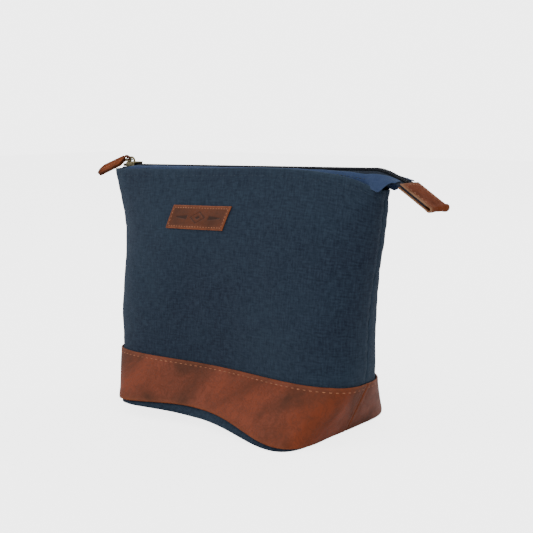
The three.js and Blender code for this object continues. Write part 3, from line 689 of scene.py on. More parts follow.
POST_END, PARTED, PARTING = -SEAM + 14.6, 1.35, 6.0           # open end, round the slider's post


def zip_height(x):
    """Middle plane of the tape: straight along the mouth, then falling along the tail."""
    end = SEAM + TAIL_STRAIGHT
    xs = [end] + [SEAM + p for p, _ in TAIL_POINTS] + [TAB_ROOT[0]]
    zs = [ZIP_HEIGHT + ZIP_SLOPE * end] + [z for _, z in TAIL_POINTS] + [TAB_ROOT[2]]
    tail = through(xs, zs, x, ZIP_SLOPE, -np.tan(TAB_DROOP))
    past = TAB_ROOT[2] - np.tan(TAB_DROOP) * (x - TAB_ROOT[0])
    return np.where(x <= end, ZIP_HEIGHT + ZIP_SLOPE * x, np.where(x >= TAB_ROOT[0], past, tail))


def parted(x):
    """How far a row of the coil stands aside, to pass the slider's post at the open end."""
    return PARTED * smooth((POST_END + PARTING - x) / PARTING)


def smoothed(path, passes):
    """Path with its corners eased: each point moves to the mean of itself and its neighbours."""
    for _ in range(passes):
        path[1:-1] = path[1:-1] / 2 + (path[:-2] + path[2:]) / 4
    return path


def half_room(x, level):
    """Half the room between the walls at x, at one of their levels."""
    square = shape_at("square", level)
    reach = np.where(x < 0, shape_at("left", level), shape_at("right", level))
    share = np.minimum(np.abs(x) / reach, 1)
    return shape_at("depth", level) * (1 - share ** square) ** (1 / square)


def outer_edge(x):
    """Outer edge of the gusset: sewn inside the wall along the mouth, free along the tail."""
    past = x - SEAM
    over = smooth((past - LEAVES_WALL[0]) / (LEAVES_WALL[1] - LEAVES_WALL[0]))
    held = np.minimum(x, SEAM + HELD_UNTIL)
    foot = 2 - GUSSET_ALLOWANCE / (rim_height(held) - BAND)
    room = np.minimum(half_room(held, 2.0), half_room(held, foot)) - CANVAS - WALL_ROOM
    inside = room - GUSSET - GUSSET_ROOM
    free = smooth((past - HELD_UNTIL) / (GUSSET_END - HELD_UNTIL))
    y = mix(inside, TAB_HALF - TAIL_ROOM, free)
    rim = rim_height(np.minimum(x, SEAM))
    outside = mix(rim + OVER_RIM, zip_height(x) - TAPE, smooth(past / GUSSET_END))
    return y, mix(rim - GUSSET_ALLOWANCE, outside, over)


def section(x, steps=65):
    """The shared line at each x, as points from the teeth outwards, and lengths along it.
    y = start + (edge - start) sin^(2/n), z = foot + (top - foot) cos^(2/n)."""
    edge_y, edge_z = outer_edge(x)
    start, top = TAPE_START + parted(x), zip_height(x)
    power = 2 / mix(SQUARE_LEFT, SQUARE_RIGHT, smooth(0.5 + x / SQUARE_SPAN))[:, None]
    angle = np.linspace(0, np.pi / 2, steps)[None, :]
    y = mix(start[:, None], edge_y[:, None], np.sin(angle) ** power)
    z = mix(edge_z[:, None], top[:, None], np.abs(np.cos(angle)) ** power)
    points = np.stack([np.broadcast_to(x[:, None], y.shape), -y, z], -1)
    step = np.linalg.norm(np.diff(points, axis=1), axis=2)
    return points, np.concatenate([np.zeros((len(x), 1)), np.cumsum(step, axis=1)], 1)


def on_section(x, share, start, width):
    """Grid over the section lines: rows run from `width` inwards to `start`, in millimetres."""
    points, length = section(x)
    grid = np.empty((len(share), len(x), 3))
    total = length[:, -1]
    inner = np.broadcast_to(np.asarray(start, float), x.shape)
    outer = np.minimum(total, width)
    for k in range(len(x)):
        at = mix(outer[k], inner[k], share)
        for axis in range(3):
            grid[:, k, axis] = np.interp(at, length[k], points[k, :, axis])
    return grid, mix(outer[None, :], inner[None, :], share[:, None])


print("zip tail ends", round(float(TAB_ROOT[0] - SEAM), 1), "mm past the side seam")

# %% Tapes and gussets
GUSSET_WAVE, TAIL_WAVE, PUFF, FOLD_HUMP = 0.22, 0.08, 1.1, 0.25
tape_pieces, gusset_pieces = {}, {}
for side, seed in (("front", 51), ("back", 57)):
    zip_x = ZIP_LEFT + edged(TAB_ROOT[0] - 0.4 - ZIP_LEFT, 230)
    grid, mm = on_section(zip_x, edged(1.0, 16, (0, 0.02, 0.06)), 0.0, TAPE_WIDTH)
    uv = np.stack([np.broadcast_to(zip_x, mm.shape), mm], -1)
    if side == "back":
        grid, uv = back_half(grid), uv[:, ::-1]
    tape_pieces[side] = sheet(f"{side}_tape", grid, TAPE / 2, uv)

    gusset_x = ZIP_LEFT + edged(SEAM + GUSSET_END - ZIP_LEFT, 240)
    grid, mm = on_section(gusset_x, edged(1.0, 20, (0, 0.02, 0.05, 0.1)), GUSSET_START, 99)
    normal = smoothed(across(grid).transpose(1, 0, 2), 40).transpose(1, 0, 2)
    normal /= np.linalg.norm(normal, axis=-1, keepdims=True)
    tail = smooth((gusset_x - SEAM + 25) / 20)[None, :]
    lift = TAPE / 2 + GUSSET_GAP + GUSSET / 2
    lift = lift + GUSSET_WAVE * waves(mm * 1.5, gusset_x[None, :], seed, 34)
    puff = hill(gusset_x - SEAM + 2, 9)[None, :] * smooth((mm - GUSSET_START) / 6)
    lift = lift + tail * TAIL_WAVE * waves(gusset_x[None, :], mm * 2, seed + 1, 30) + PUFF * puff
    lift = lift + FOLD_HUMP * hill(mm - GUSSET_START - 0.5, 0.8)
    grid = grid + normal * lift[..., None]
    uv = np.stack([np.broadcast_to(gusset_x, mm.shape), mm + 40], -1)
    if side == "back":
        grid, uv = back_half(grid), uv[:, ::-1]
    gusset_pieces[side] = sheet(f"{side}_gusset", grid, GUSSET / 2, uv)
print("gusset:", len(gusset_pieces["front"].data.polygons), "faces")

# %% [markdown]
# ## Coil and stops
#
# A coil zip's teeth are the turns of one nylon thread, wound flat and sewn to the tape's edge. So
# each row is a single tube along a flattened helix, half a turn out of step with the other row, and
# their rounded heads lock along the middle. A straight cord fills each coil. Two brass stops end the
# rows at the open end.

# %% Coil
COIL_PITCH, COIL_WIRE, LOCK = 1.3, 0.31, 0.33
CORD, CORD_LOW = 0.62, 0.3                                    # and it lies low in the coil


def coil(from_x, to_x, phase, size=1.0):
    """Path of a helix about the coil's middle line: y turns with the cosine and z with the sine. At
    size 0 it is the straight cord inside the coil."""
    turns = (to_x - from_x) / COIL_PITCH
    t = np.linspace(0, turns, int(turns * 12))
    x = from_x + t * COIL_PITCH
    slope = np.arctan(np.gradient(zip_height(x), x))
    angle = 2 * np.pi * (t + phase)
    half_y, half_z = COIL_WIDTH / 2 + LOCK / 2 - COIL_WIRE / 2, COIL_HEIGHT / 2 - COIL_WIRE
    aside = COIL_START - LOCK / 2 + parted(x) + COIL_WIDTH / 2 + COIL_WIRE / 2
    y = -aside + size * half_y * np.cos(angle)
    low = TAPE / 2 + COIL_HEIGHT / 2 + size * half_z * np.sin(angle) - (1 - size) * CORD_LOW
    return np.stack([x - np.sin(slope) * low, y, zip_height(x) + np.cos(slope) * low], -1)


coil_pieces, cord_pieces = {}, {}
for side, phase in (("front", 0.0), ("back", 0.5)):
    flip = np.array([1, 1 if side == "front" else -1, 1])
    ends = -SEAM + 9.9, SEAM + GUSSET_END + 1.6
    coil_pieces[side] = tube(f"{side}_coil", coil(*ends, phase) * flip, COIL_WIRE, 4, hint=(1, 0, 0))
    cord_pieces[side] = tube(f"{side}_coil_cord", coil(*ends, 0, 0.0)[::18] * flip, CORD, 8, flat=1.25)
print("coil:", int((2 * SEAM) / COIL_PITCH), "turns a side")


# %% Rounded blocks for small metal
def pebble(centre, half, power=4.0, taper=0.0, rows=12, columns=28):
    """Superellipsoid: a block whose faces and corners are all slightly round. taper narrows it in y
    towards -x. Returns points and faces, closed at both poles."""
    v = np.linspace(-np.pi / 2, np.pi / 2, rows)[:, None]
    u = np.linspace(0, 2 * np.pi, columns, endpoint=False)[None, :]
    p = 2 / power
    x = bulged(np.cos(v), p) * bulged(np.cos(u), p)
    y = bulged(np.cos(v), p) * bulged(np.sin(u), p)
    z = bulged(np.sin(v), p) + 0 * u
    y = y * (1 - taper * (1 - x) / 2)
    points = np.stack([x, y, z], -1) * np.asarray(half) + np.asarray(centre)
    index = np.arange(rows * columns).reshape(rows, columns)
    index[0], index[-1] = 0, (rows - 1) * columns
    index = np.concatenate([index, index[:, :1]], 1)
    faces = [[p for k, p in enumerate(f) if p != f[k - 1]] for f in quads(index).tolist()]
    return points.reshape(-1, 3), [f for f in faces if len(f) > 2]


def joined(name, parts, placed=None):
    """One object from several closed parts. placed moves all its points."""
    points, faces, count = [], [], 0
    for part_points, part_faces in parts:
        points.append(part_points)
        faces += [[v + count for v in f] for f in part_faces]
        count += len(part_points)
    points = np.concatenate(points)
    used = np.unique(np.concatenate([np.array(f) for f in faces]))
    renumber = np.zeros(len(points), int)
    renumber[used] = np.arange(len(used))
    faces = [[int(renumber[v]) for v in f] for f in faces]
    points = points[used]
    return make_object(name, points if placed is None else placed(points), faces)


stop_pieces = {}
for side, turn in (("front", -1), ("back", 1)):
    low, high = (np.array(c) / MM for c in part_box(f"{side}_zip_top_stop"))
    middle, half = (low + high) / 2, (high - low) / 2
    stop_pieces[side] = joined(f"{side}_stop", [pebble(middle, half * 1.02, 5)])
print("two stops")

# %% [markdown]
# ## Slider and ring
#
# The slider is die cast: a shield-shaped top plate, narrower at the tail, a bottom plate under the
# tape, two cheeks that press the rows together, a post between them, and a bridge for the ring. Each
# is a rounded block, because no edge of a casting is sharp. The ring is bent wire.

# %% Slider
slope_angle = np.arctan(ZIP_SLOPE)
SLIDER_AT = np.array([SLIDER_X, 0, ZIP_HEIGHT + ZIP_SLOPE * SLIDER_X])
ALONG = np.array([np.cos(slope_angle), 0, np.sin(slope_angle)])
UPRIGHT = np.array([-np.sin(slope_angle), 0, np.cos(slope_angle)])
SLIDER_HALF, SLIDER_WIDE, PLATE = 6.2, 4.9, 1.1
PLATE_LOW = TAPE / 2 + 0.3 + COIL_HEIGHT + 0.45
PLATE_TOP = PLATE_LOW + PLATE
BRIDGE_X, BRIDGE_OPENING, BRIDGE_HEIGHT = -2.2, 3.2, 2.4
BRIDGE_WIDE, BRIDGE_THICK, ARCH_POWER = 1.7, 1.0, 2 / 2.8
CHEEK, CHEEK_SHORTER, PLATE_TAPER = 0.42, 1.6, 0.16
POST_AT, POST_HALF = (2.9, 1.5), (1.8, 1.05, 2.5)


def on_slider(points):
    """Slider's own x, y, z, from the middle of the tape, to the bag's."""
    return SLIDER_AT + points[:, :1] * ALONG + points[:, 1:2] * [0, 1, 0] + points[:, 2:] * UPRIGHT


def arch(half_span, height, foot, wide, thick, steps=25, sides=12):
    """Strap bent over as a bridge: a superellipse path in x and z with a rounded flat section."""
    t = np.linspace(0, np.pi, steps)
    path = np.stack([BRIDGE_X - half_span * bulged(np.cos(t), ARCH_POWER), 0 * t,
                     foot + height * bulged(np.sin(t), ARCH_POWER)], -1)
    way = np.gradient(path, axis=0)
    way /= np.linalg.norm(way, axis=1, keepdims=True)
    out = np.stack([-way[:, 2], 0 * t, way[:, 0]], -1)
    turn = np.linspace(0, 2 * np.pi, sides, endpoint=False)
    flat = np.stack([bulged(np.cos(turn), 0.5) * wide / 2, bulged(np.sin(turn), 0.5) * thick / 2], -1)
    points = path[:, None] + flat[None, :, :1] * np.array([0, 1, 0]) + flat[None, :, 1:] * out[:, None]
    index = np.arange(steps * sides).reshape(steps, sides)
    index = np.concatenate([index, index[:, :1]], 1)
    faces = quads(index)[:, ::-1].tolist() + [index[0, :-1].tolist(), index[-1, :-1][::-1].tolist()]
    return points.reshape(-1, 3), faces


cheek_y, cheek_z = SLIDER_WIDE - CHEEK, PLATE_LOW / 2 + 0.55
top_plate = (SLIDER_HALF, SLIDER_WIDE, PLATE / 2 + 0.05)
bottom_plate = (SLIDER_HALF, SLIDER_WIDE, PLATE / 2)
slider_parts = [
    pebble((0, 0, PLATE_LOW + PLATE / 2), top_plate, 4, PLATE_TAPER, 14, 40),
    pebble((0, 0, -TAPE / 2 - 0.45 - PLATE / 2), bottom_plate, 4, PLATE_TAPER, 14, 40),
    *[pebble((-0.3, side * cheek_y, cheek_z), (SLIDER_HALF - CHEEK_SHORTER, CHEEK, cheek_z - 0.4), 6)
      for side in (-1, 1)],
    pebble((SLIDER_HALF * -1 + POST_AT[0], 0, POST_AT[1]), POST_HALF, 3),
    arch(BRIDGE_OPENING / 2 + 0.65, BRIDGE_HEIGHT + 0.75, PLATE_TOP - 0.35, BRIDGE_WIDE, BRIDGE_THICK),
]
slider_piece = joined("zip_slider_body", slider_parts, on_slider)
RING, RING_WIRE, RING_RISE, RING_ROLL = 3.0, 0.5, np.radians(10), np.radians(28)
PULL_DROOP, PULL_ROLL = np.radians(-19), np.radians(42)


def rolled(rise, roll):
    """Directions of a piece that hangs on the slider: its way, and across it, rolled about its way."""
    way = -np.cos(rise) * ALONG + np.sin(rise) * UPRIGHT
    up = np.sin(rise) * ALONG + np.cos(rise) * UPRIGHT
    sideways = -np.cos(roll) * np.array([0, 1, 0]) - np.sin(roll) * up
    return way, sideways, np.cross(way, sideways)


bridge_middle = on_slider(np.array([[BRIDGE_X, 0, PLATE_TOP + BRIDGE_HEIGHT / 2 + 0.25]]))[0]
ring_way, ring_side, ring_out = rolled(RING_RISE, RING_ROLL)
turn = np.linspace(0, 2 * np.pi, 48, endpoint=False)
ring_path = (bridge_middle + ring_way * RING + np.cos(turn)[:, None] * ring_way * RING
             + np.sin(turn)[:, None] * ring_side * RING)
ring_piece = tube("slider_ring_wire", ring_path, RING_WIRE, 12, hint=ring_out, closed=True)
print("slider of", len(slider_parts), "parts at x", SLIDER_X)

# %% [markdown]
# ## Folded leather: pull and tail tab
#
# Both are one strip of leather, folded over and sewn to itself: the pull round the slider's ring, the
# tab round the end of the zip. A folded strip is a path seen from the side, carried across the
# strip's width, so one maker serves both. The path of the pull goes along the upper layer, round the
# ring and back. The tab's goes out, round a bulging fold, and back under the tape.

# %% Strip along a path
PATH_STEP = 0.4                                               # of the leather's own UV map


def even_path(path, count):
    """The same path with points at equal steps, but closer together at its two ends."""
    travel = np.concatenate([[0], np.cumsum(np.linalg.norm(np.diff(path, axis=0), axis=1))])
    at = edged(travel[-1], count, (0, 0.06, 0.2, 0.45, 0.8))
    return np.stack([np.interp(at, travel, path[:, k]) for k in range(2)], -1)


def folded_strip(name, path, half_width, thickness, origin, axes, relief=None, radius=0.45):
    """Leather of a given thickness along a path of (along, out) points. half_width is the half width
    at each point. axes are the strip's way, its width and its outside."""
    way, sideways, out = axes
    t = np.concatenate([[-1, -0.985, -0.95, -0.9], np.linspace(-0.84, 0.84, 21), [0.9, 0.95, 0.985, 1]])
    middle = (origin + path[None, :, :1] * way + path[None, :, 1:] * out
              + (t[:, None] * half_width[None, :])[..., None] * sideways)
    along_mm = np.arange(len(path))[None, :] * PATH_STEP
    uv = np.stack(np.broadcast_arrays(along_mm, t[:, None] * half_width), -1)
    if relief is not None:
        middle = middle - across(middle) * relief(path, t, half_width)[..., None]
    return sheet(name, middle, thickness / 2, uv, radius)


# %% Pull
PULL_LENGTH, PULL_HALF, NECK_HALF, SHOULDER, SHOULDER_HALF = 35.0, 5.8, 1.2, 6.4, 5.2
PULL_LAYER, LOOP = 1.25, 2.2
PULL_GROOVE, PULL_CROWN = 0.22, 0.12


def pull_half_width(x):
    """Narrow round the ring, widening over the shoulder, then nearly straight to a round end."""
    neck = mix(NECK_HALF, SHOULDER_HALF, smooth((x - 2.6) / (SHOULDER - 2.6)) ** 1.3)
    share = np.clip((x - SHOULDER) / (PULL_LENGTH - PULL_HALF - SHOULDER), 0, 1)
    strap = mix(SHOULDER_HALF, PULL_HALF, share)
    end = np.sqrt(np.clip(1 - np.clip((x - PULL_LENGTH + PULL_HALF) / PULL_HALF, 0, 0.995) ** 2, 0, 1))
    return np.where(x < SHOULDER, neck, strap * end)


lay = PULL_LAYER / 2 + 0.04
flare = np.arcsin(lay / LOOP)
circle = np.linspace(flare, 2 * np.pi - flare, 60)
upper = np.stack([np.linspace(PULL_LENGTH, 4.2, 80), np.full(80, lay)], -1)
loop = np.stack([LOOP * np.cos(circle), LOOP * np.sin(circle)], -1)
pull_path = smoothed(np.concatenate([upper, loop, upper[::-1] * [1, -1]]), 12)
pull_path = even_path(pull_path, 130)
pull_way, pull_side, pull_out = rolled(PULL_DROOP, PULL_ROLL)
PULL_AT = bridge_middle + ring_way * 2 * RING


def pull_relief(path, t, half):
    """A groove under the middle row of thread, and a slight crown between it and the edges."""
    on_strap = smooth((path[None, :, 0] - SHOULDER + 1) / 2)
    across_mm = t[:, None] * half[None, :]
    return on_strap * (-PULL_GROOVE * hill(across_mm, 0.8) + PULL_CROWN * np.cos(t[:, None] * np.pi / 2))


pull_piece = folded_strip("pull_leather", pull_path, pull_half_width(pull_path[:, 0]), PULL_LAYER,
                          PULL_AT, (pull_way, -pull_side, -pull_out), pull_relief)
print("pull:", len(pull_piece.data.polygons), "faces")

# %% Tail tab
TAB_LENGTH, TAB_LEATHER, TAB_FOLD = 28.0, 1.25, 2.1
tab_lay = TAPE / 2 + 0.45 + TAB_LEATHER / 2
fold_middle = TAB_LENGTH - TAB_FOLD
fold_radius = TAB_FOLD - TAB_LEATHER / 2 + 0.12
neck_angle = np.radians(48)
out_leg = np.stack([np.linspace(0, fold_middle - 4.2, 60), np.full(60, tab_lay)], -1)
bulge = np.linspace(np.pi - neck_angle, neck_angle - np.pi, 50)
fold = np.stack([fold_middle + fold_radius * np.cos(bulge), fold_radius * np.sin(bulge)], -1)
tab_path = smoothed(np.concatenate([out_leg, fold, out_leg[::-1] * [1, -1]]), 14)
tab_path = even_path(tab_path, 110)
TAB_AXES = (np.array([np.cos(TAB_DROOP), 0, -np.sin(TAB_DROOP)]), np.array([0.0, -1, 0]),
            np.array([np.sin(TAB_DROOP), 0, np.cos(TAB_DROOP)]))
THREAD_INSET = 3.0
TAB_GROOVE, DIMPLE, KNOB = 0.2, 0.14, 0.9                     # the fold is fatter at one corner


def tab_relief(path, t, half):
    """Grooves under the rows of thread, a few worn dimples, and the fat corner of the fold."""
    side = half[None, :] - np.abs(t[:, None] * half[None, :])
    flat = smooth((fold_middle - 3 - path[None, :, 0]) / 2)
    dimples = DIMPLE * waves(path[None, :, 0] * 1.5 + 0 * side, t[:, None] * half[None, :], 71, 15)
    knob = KNOB * smooth((-t[:, None] - 0.35) / 0.5) * smooth((path[None, :, 0] - fold_middle + 1.2) / 2)
    return flat * -TAB_GROOVE * hill(side - THREAD_INSET, 0.7) + dimples + knob


tab_piece = folded_strip("tab_leather", tab_path, np.full(len(tab_path), TAB_HALF), TAB_LEATHER,
                         TAB_ROOT, TAB_AXES, tab_relief, 0.5)
tape_end_x = np.linspace(0.6, TAB_LENGTH - 2 * TAB_FOLD - 1, 30)
tape_end_y = np.linspace(-TAB_HALF + 0.5, TAB_HALF - 0.5, 24)
tape_end_grid = (TAB_ROOT + tape_end_x[None, :, None] * TAB_AXES[0]
                 + tape_end_y[:, None, None] * [0, 1, 0])
tape_end_piece = sheet("tape_end", tape_end_grid, TAPE / 2 + 0.35,
                       np.stack(np.meshgrid(tape_end_x, tape_end_y), -1))
print("tab:", len(tab_piece.data.polygons), "faces")

# %% [markdown]
# ## Leather patch
#
# The patch is a slanted piece of leather, sewn flat on the front. A hot stamp has pressed its
# ornament into it: a lozenge between two tapering bars. The stamp is real relief here, three tenths
# of a millimetre deep, and the same function that lowers the surface also darkens the leather, because
# pressed leather takes more wax.

# %% Patch
PATCH_WIDE, PATCH_HIGH, PATCH_LEAN = 55.0, 17.2, 7.0
PATCH_ALONG, PATCH_LEVEL, PATCH_THICK = 0.414, 1.752, 1.2
PATCH_THREAD, STAMP_DEPTH = 1.9, 0.3
PATCH_GAP, PATCH_GROOVE, PATCH_EDGE = 0.15, 0.18, 0.25        # off the canvas; under the thread; edge
LOZENGE, LINE, HEART = (7.5, 4.6), (0.72, 0.95), 0.30         # half sizes, and shares of them
BAR_START, BAR_LENGTH, BAR_HALF, BAR_TAPER = 9.5, 11, 1.5, 10


def on_patch(s, t, offset):
    """Place s along and t up the patch, in millimetres from its middle, at an offset off the canvas."""
    middle = look_up(WALL, np.array(PATCH_ALONG), np.array(PATCH_LEVEL))
    rise = rim_height(middle[0]) - BAND
    level = PATCH_LEVEL + t / rise
    length = np.interp(PATCH_LEVEL, np.linspace(0, 2, ROWS), LENGTH)
    u = PATCH_ALONG + (s + t / PATCH_HIGH * PATCH_LEAN) / length
    points, normal = wall(u, level)
    lift = offset + canvas_relief(u, level, CANVAS_SEED["front"])
    return points + normal * lift[..., None], normal


def stamp(s, t):
    """1 where the stamp presses: the line and the heart of a lozenge, and a bar on each side of it."""
    lozenge = np.abs(s) / LOZENGE[0] + np.abs(t) / LOZENGE[1]
    line = smooth((lozenge - LINE[0]) / 0.08) * (1 - smooth((lozenge - LINE[1]) / 0.08))
    heart = 1 - smooth((lozenge - HEART) / 0.12)
    far = np.abs(s) - BAR_START
    bar = smooth(far / 0.5) * (1 - smooth((far - BAR_LENGTH) / 0.5))
    bar = bar * (1 - smooth((np.abs(t) - BAR_HALF + far / BAR_TAPER) / 0.4))
    return np.clip(line + heart + bar, 0, 1)


def keep_mask(piece, name, grid):
    """Stores a grid of values on both faces of a sheet, as an attribute that its material reads."""
    inside = np.zeros(grid.shape, bool)
    inside[1:-1, 1:-1] = True
    mask = piece.data.attributes.new(name, "FLOAT", "POINT")
    mask.data.foreach_set("value", np.concatenate([grid.ravel(), grid[inside]]).astype(np.float32))


s_mm = edged(PATCH_WIDE, 124) - PATCH_WIDE / 2
t_mm = edged(PATCH_HIGH, 42) - PATCH_HIGH / 2
s_grid, t_grid = np.meshgrid(s_mm, t_mm)
inset = np.minimum(PATCH_WIDE / 2 - np.abs(s_grid), PATCH_HIGH / 2 - np.abs(t_grid))
pressed = stamp(s_grid, t_grid)
patch_relief = (PATCH_GAP + PATCH_THICK / 2 - STAMP_DEPTH * pressed
                - PATCH_GROOVE * hill(inset - PATCH_THREAD, 0.6)
                - PATCH_EDGE * smooth((inset - PATCH_THREAD - 0.6) / 0.8))
patch_middle, _ = on_patch(s_grid, t_grid, patch_relief)
patch_piece = sheet("patch_leather", patch_middle, PATCH_THICK / 2, np.stack([s_grid, t_grid], -1), 0.5)
keep_mask(patch_piece, "pressed", pressed)
print("patch:", len(patch_piece.data.polygons), "faces")

# %% [markdown]
# ## Thread
#
# Thick tan thread holds the leather, and thinner navy thread the canvas. Rows follow the grooves
# that the needle drew into the cloth. Each row is worked out on the same surface as the piece that it
# sews, so that it lies in the groove and moves as its piece moves.

# %% Rows on the walls
TAN_ROWS, NAVY_ROWS = [], []
BAND_STITCH, CANVAS_STITCH = (4.6, 3.3, 0.46), (3.3, 2.4, 0.30)     # pitch, length, radius
GUSSET_STITCH, PATCH_STITCH = (2.9, 2.1, 0.28), (2.5, 2.15, 0.36)
PULL_STITCH, TAB_STITCH = (3.1, 2.5, 0.4), (3.0, 2.4, 0.4)


def along_wall(name, u, level, offset, side, store, stitch):
    """Row of stitches along a line on the wall, kept in store with the rows of its colour."""
    points, normal = wall(u, level)
    points = points + normal * np.asarray(offset)[..., None]
    if side == "back":
        points, normal = points[::-1] * [1, -1, 1], normal[::-1] * [1, -1, 1]
    piece = thread_row(f"{side}_{name}", points, normal, *stitch)
    store.append(piece)
    return piece


line_u = np.linspace(1.5 / LENGTH[-1], 1 - 1.5 / LENGTH[-1], 900)
line_level = np.linspace(1.012, 2 - 2.0 / (RIM - BAND), 400)
for side, seed in CANVAS_SEED.items():
    level = 1 - BAND_THREAD / BAND + 0 * line_u
    lift = LEATHER_GAP + LEATHER + leather_relief(LEATHER_SEED[side])(line_u, level)
    row = along_wall("band_thread", line_u, level, lift, side, TAN_ROWS, BAND_STITCH)
    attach(row, "bag_base")

    level = 2 - (HEM - HEM_THREAD) / (RIM - BAND) + 0 * line_u
    lift = canvas_relief(line_u, level, seed)
    row = along_wall("hem_thread", line_u, level, lift, side, NAVY_ROWS, CANVAS_STITCH)
    opens_with(row)

    length = np.interp(line_level, np.linspace(0, 2, ROWS), LENGTH)
    seam_u = 1 - (SEAM_STRIP - SEAM_THREAD) / length
    lift = canvas_relief(seam_u, line_level, seed)
    row = along_wall("seam_thread", seam_u, line_level, lift, side, NAVY_ROWS, CANVAS_STITCH)
    opens_with(row)

    gusset_line = np.linspace(ZIP_LEFT + 2, SEAM + GUSSET_END - 2, 500)
    grid, _ = on_section(gusset_line, np.array([0.0, 0.04, 0.08]), GUSSET_START + 1.5,
                         GUSSET_START + 3.0)
    normal = across(grid)
    points = grid[2] + normal[2] * (TAPE / 2 + GUSSET_GAP + GUSSET + 0.16)
    if side == "back":
        points, normal = points[::-1] * [1, -1, 1], normal[:, ::-1] * [1, -1, 1]
    row = thread_row(f"{side}_gusset_thread", points, normal[2], *GUSSET_STITCH)
    NAVY_ROWS.append(row)
    opens_with(row)

# %% Rows on the patch, the pull and the tab
corner_s, corner_t = PATCH_WIDE / 2 - PATCH_THREAD, PATCH_HIGH / 2 - PATCH_THREAD
for k, (s0, t0, s1, t1) in enumerate(((-1, -1, 1, -1), (1, -1, 1, 1), (1, 1, -1, 1), (-1, 1, -1, -1))):
    step = np.linspace(0, 1, 200)
    points, normal = on_patch(mix(s0, s1, step) * corner_s, mix(t0, t1, step) * corner_t,
                              PATCH_GAP + PATCH_THICK - 0.1 + 0 * step)
    row = thread_row(f"patch_thread_{k}", points, normal, *PATCH_STITCH)
    TAN_ROWS.append(row)
    opens_with(row)

pull_line = np.linspace(SHOULDER + 0.5, PULL_LENGTH - 3, 120)
for name, face in (("upper", -1), ("lower", 1)):
    depth = (PULL_LAYER + 0.04 - 0.12) * face
    points = PULL_AT + pull_line[:, None] * pull_way + depth * pull_out
    up = np.broadcast_to(pull_out * face, points.shape)
    row = thread_row(f"pull_thread_{name}", points, up, *PULL_STITCH)
    TAN_ROWS.append(row)
    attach(row, "zip_pull")

tab_from, tab_to = 2.6, fold_middle - 4.0
tab_side = TAB_HALF - THREAD_INSET
for face, sign in (("upper", 1), ("lower", -1)):
    for k, (x0, y0, x1, y1) in enumerate(((tab_from, -1, tab_to, -1), (tab_from, 1, tab_to, 1),
                                          (tab_from, -0.86, tab_from, 0.86))):
        step = np.linspace(0, 1, 80)[:, None]
        lift = sign * (tab_lay + TAB_LEATHER / 2 - 0.08)
        points = (TAB_ROOT + mix(x0, x1, step) * TAB_AXES[0]
                  + mix(y0, y1, step) * tab_side * TAB_AXES[1] + lift * TAB_AXES[2])
        up = np.broadcast_to(TAB_AXES[2] * sign, points.shape)
        row = thread_row(f"tab_thread_{face}_{k}", points, up, *TAB_STITCH)
        TAN_ROWS.append(row)
        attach(row, "zip_tail")
print(len(TAN_ROWS), "rows of tan thread,", len(NAVY_ROWS), "of navy")

# %% [markdown]
# ## Materials: shared effects
#
# Four effects are used by several materials, so each is a node group with named inputs: a weave for
# everything woven, a grain for everything leather, an uneven dye for both, and the wear of a cut
# edge. A group gives back only a colour, a mask or a height. The shader itself stays in the material.

# %% Node helpers
def plug(tree, made, inputs):
    """Gives each named socket of a node a value, or another node's output to read."""
    for key, value in (inputs or {}).items():
        if isinstance(value, bpy.types.NodeSocket):
            tree.links.new(value, made.inputs[key])
        else:
            made.inputs[key].default_value = value
    return made


def node(tree, kind, inputs=None, **settings):
    """Adds a shader node with its settings and inputs."""
    made = tree.nodes.new("ShaderNode" + kind)
    for key, value in settings.items():
        setattr(made, key, value)
    return plug(tree, made, inputs)


def new_group(name, inputs, outputs):
    """Empty node group with named sockets, and its input and output nodes."""
    tree = bpy.data.node_groups.new(name, "ShaderNodeTree")
    for label, kind, default in inputs:
        socket = tree.interface.new_socket(name=label, in_out="INPUT", socket_type="NodeSocket" + kind)
        if default is not None:
            socket.default_value = default
    for label, kind in outputs:
        tree.interface.new_socket(name=label, in_out="OUTPUT", socket_type="NodeSocket" + kind)
    return tree, tree.nodes.new("NodeGroupInput").outputs, tree.nodes.new("NodeGroupOutput").inputs


def blend_colour(tree, share, a, b):
    """Colour mixed from a to b."""
    return node(tree, "Mix", {0: share, 6: a, 7: b}, data_type="RGBA").outputs[2]


def maths(tree, operation, a, b=0.0):
    """Result of one operation on two values."""
    return node(tree, "Math", {0: a, 1: b}, operation=operation).outputs[0]


def stretch(tree, value, low, high, to_low=0.0, to_high=1.0):
    """A value between low and high, stretched to lie between two other numbers."""
    return node(tree, "MapRange", {0: value, 1: low, 2: high, 3: to_low, 4: to_high}).outputs[0]


# %% Uneven dye
dye, dye_in, dye_out = new_group(
    "uneven_dye",
    [("Vector", "Vector", None), ("Size", "Float", 1.0), ("Dark", "Color", (0, 0, 0, 1)),
     ("Light", "Color", (1, 1, 1, 1)), ("Contrast", "Float", 0.2)],
    [("Color", "Color"), ("Mask", "Float")])
broad = node(dye, "TexNoise", {"Vector": dye_in["Vector"], "Scale": dye_in["Size"], "Detail": 5.0,
                               "Roughness": 0.55, "Distortion": 0.6})
low = maths(dye, "SUBTRACT", 0.5, dye_in["Contrast"])
high = maths(dye, "ADD", 0.5, dye_in["Contrast"])
dye_mask = stretch(dye, broad.outputs["Fac"], low, high)
dye.links.new(blend_colour(dye, dye_mask, dye_in["Dark"], dye_in["Light"]), dye_out["Color"])
dye.links.new(dye_mask, dye_out["Mask"])

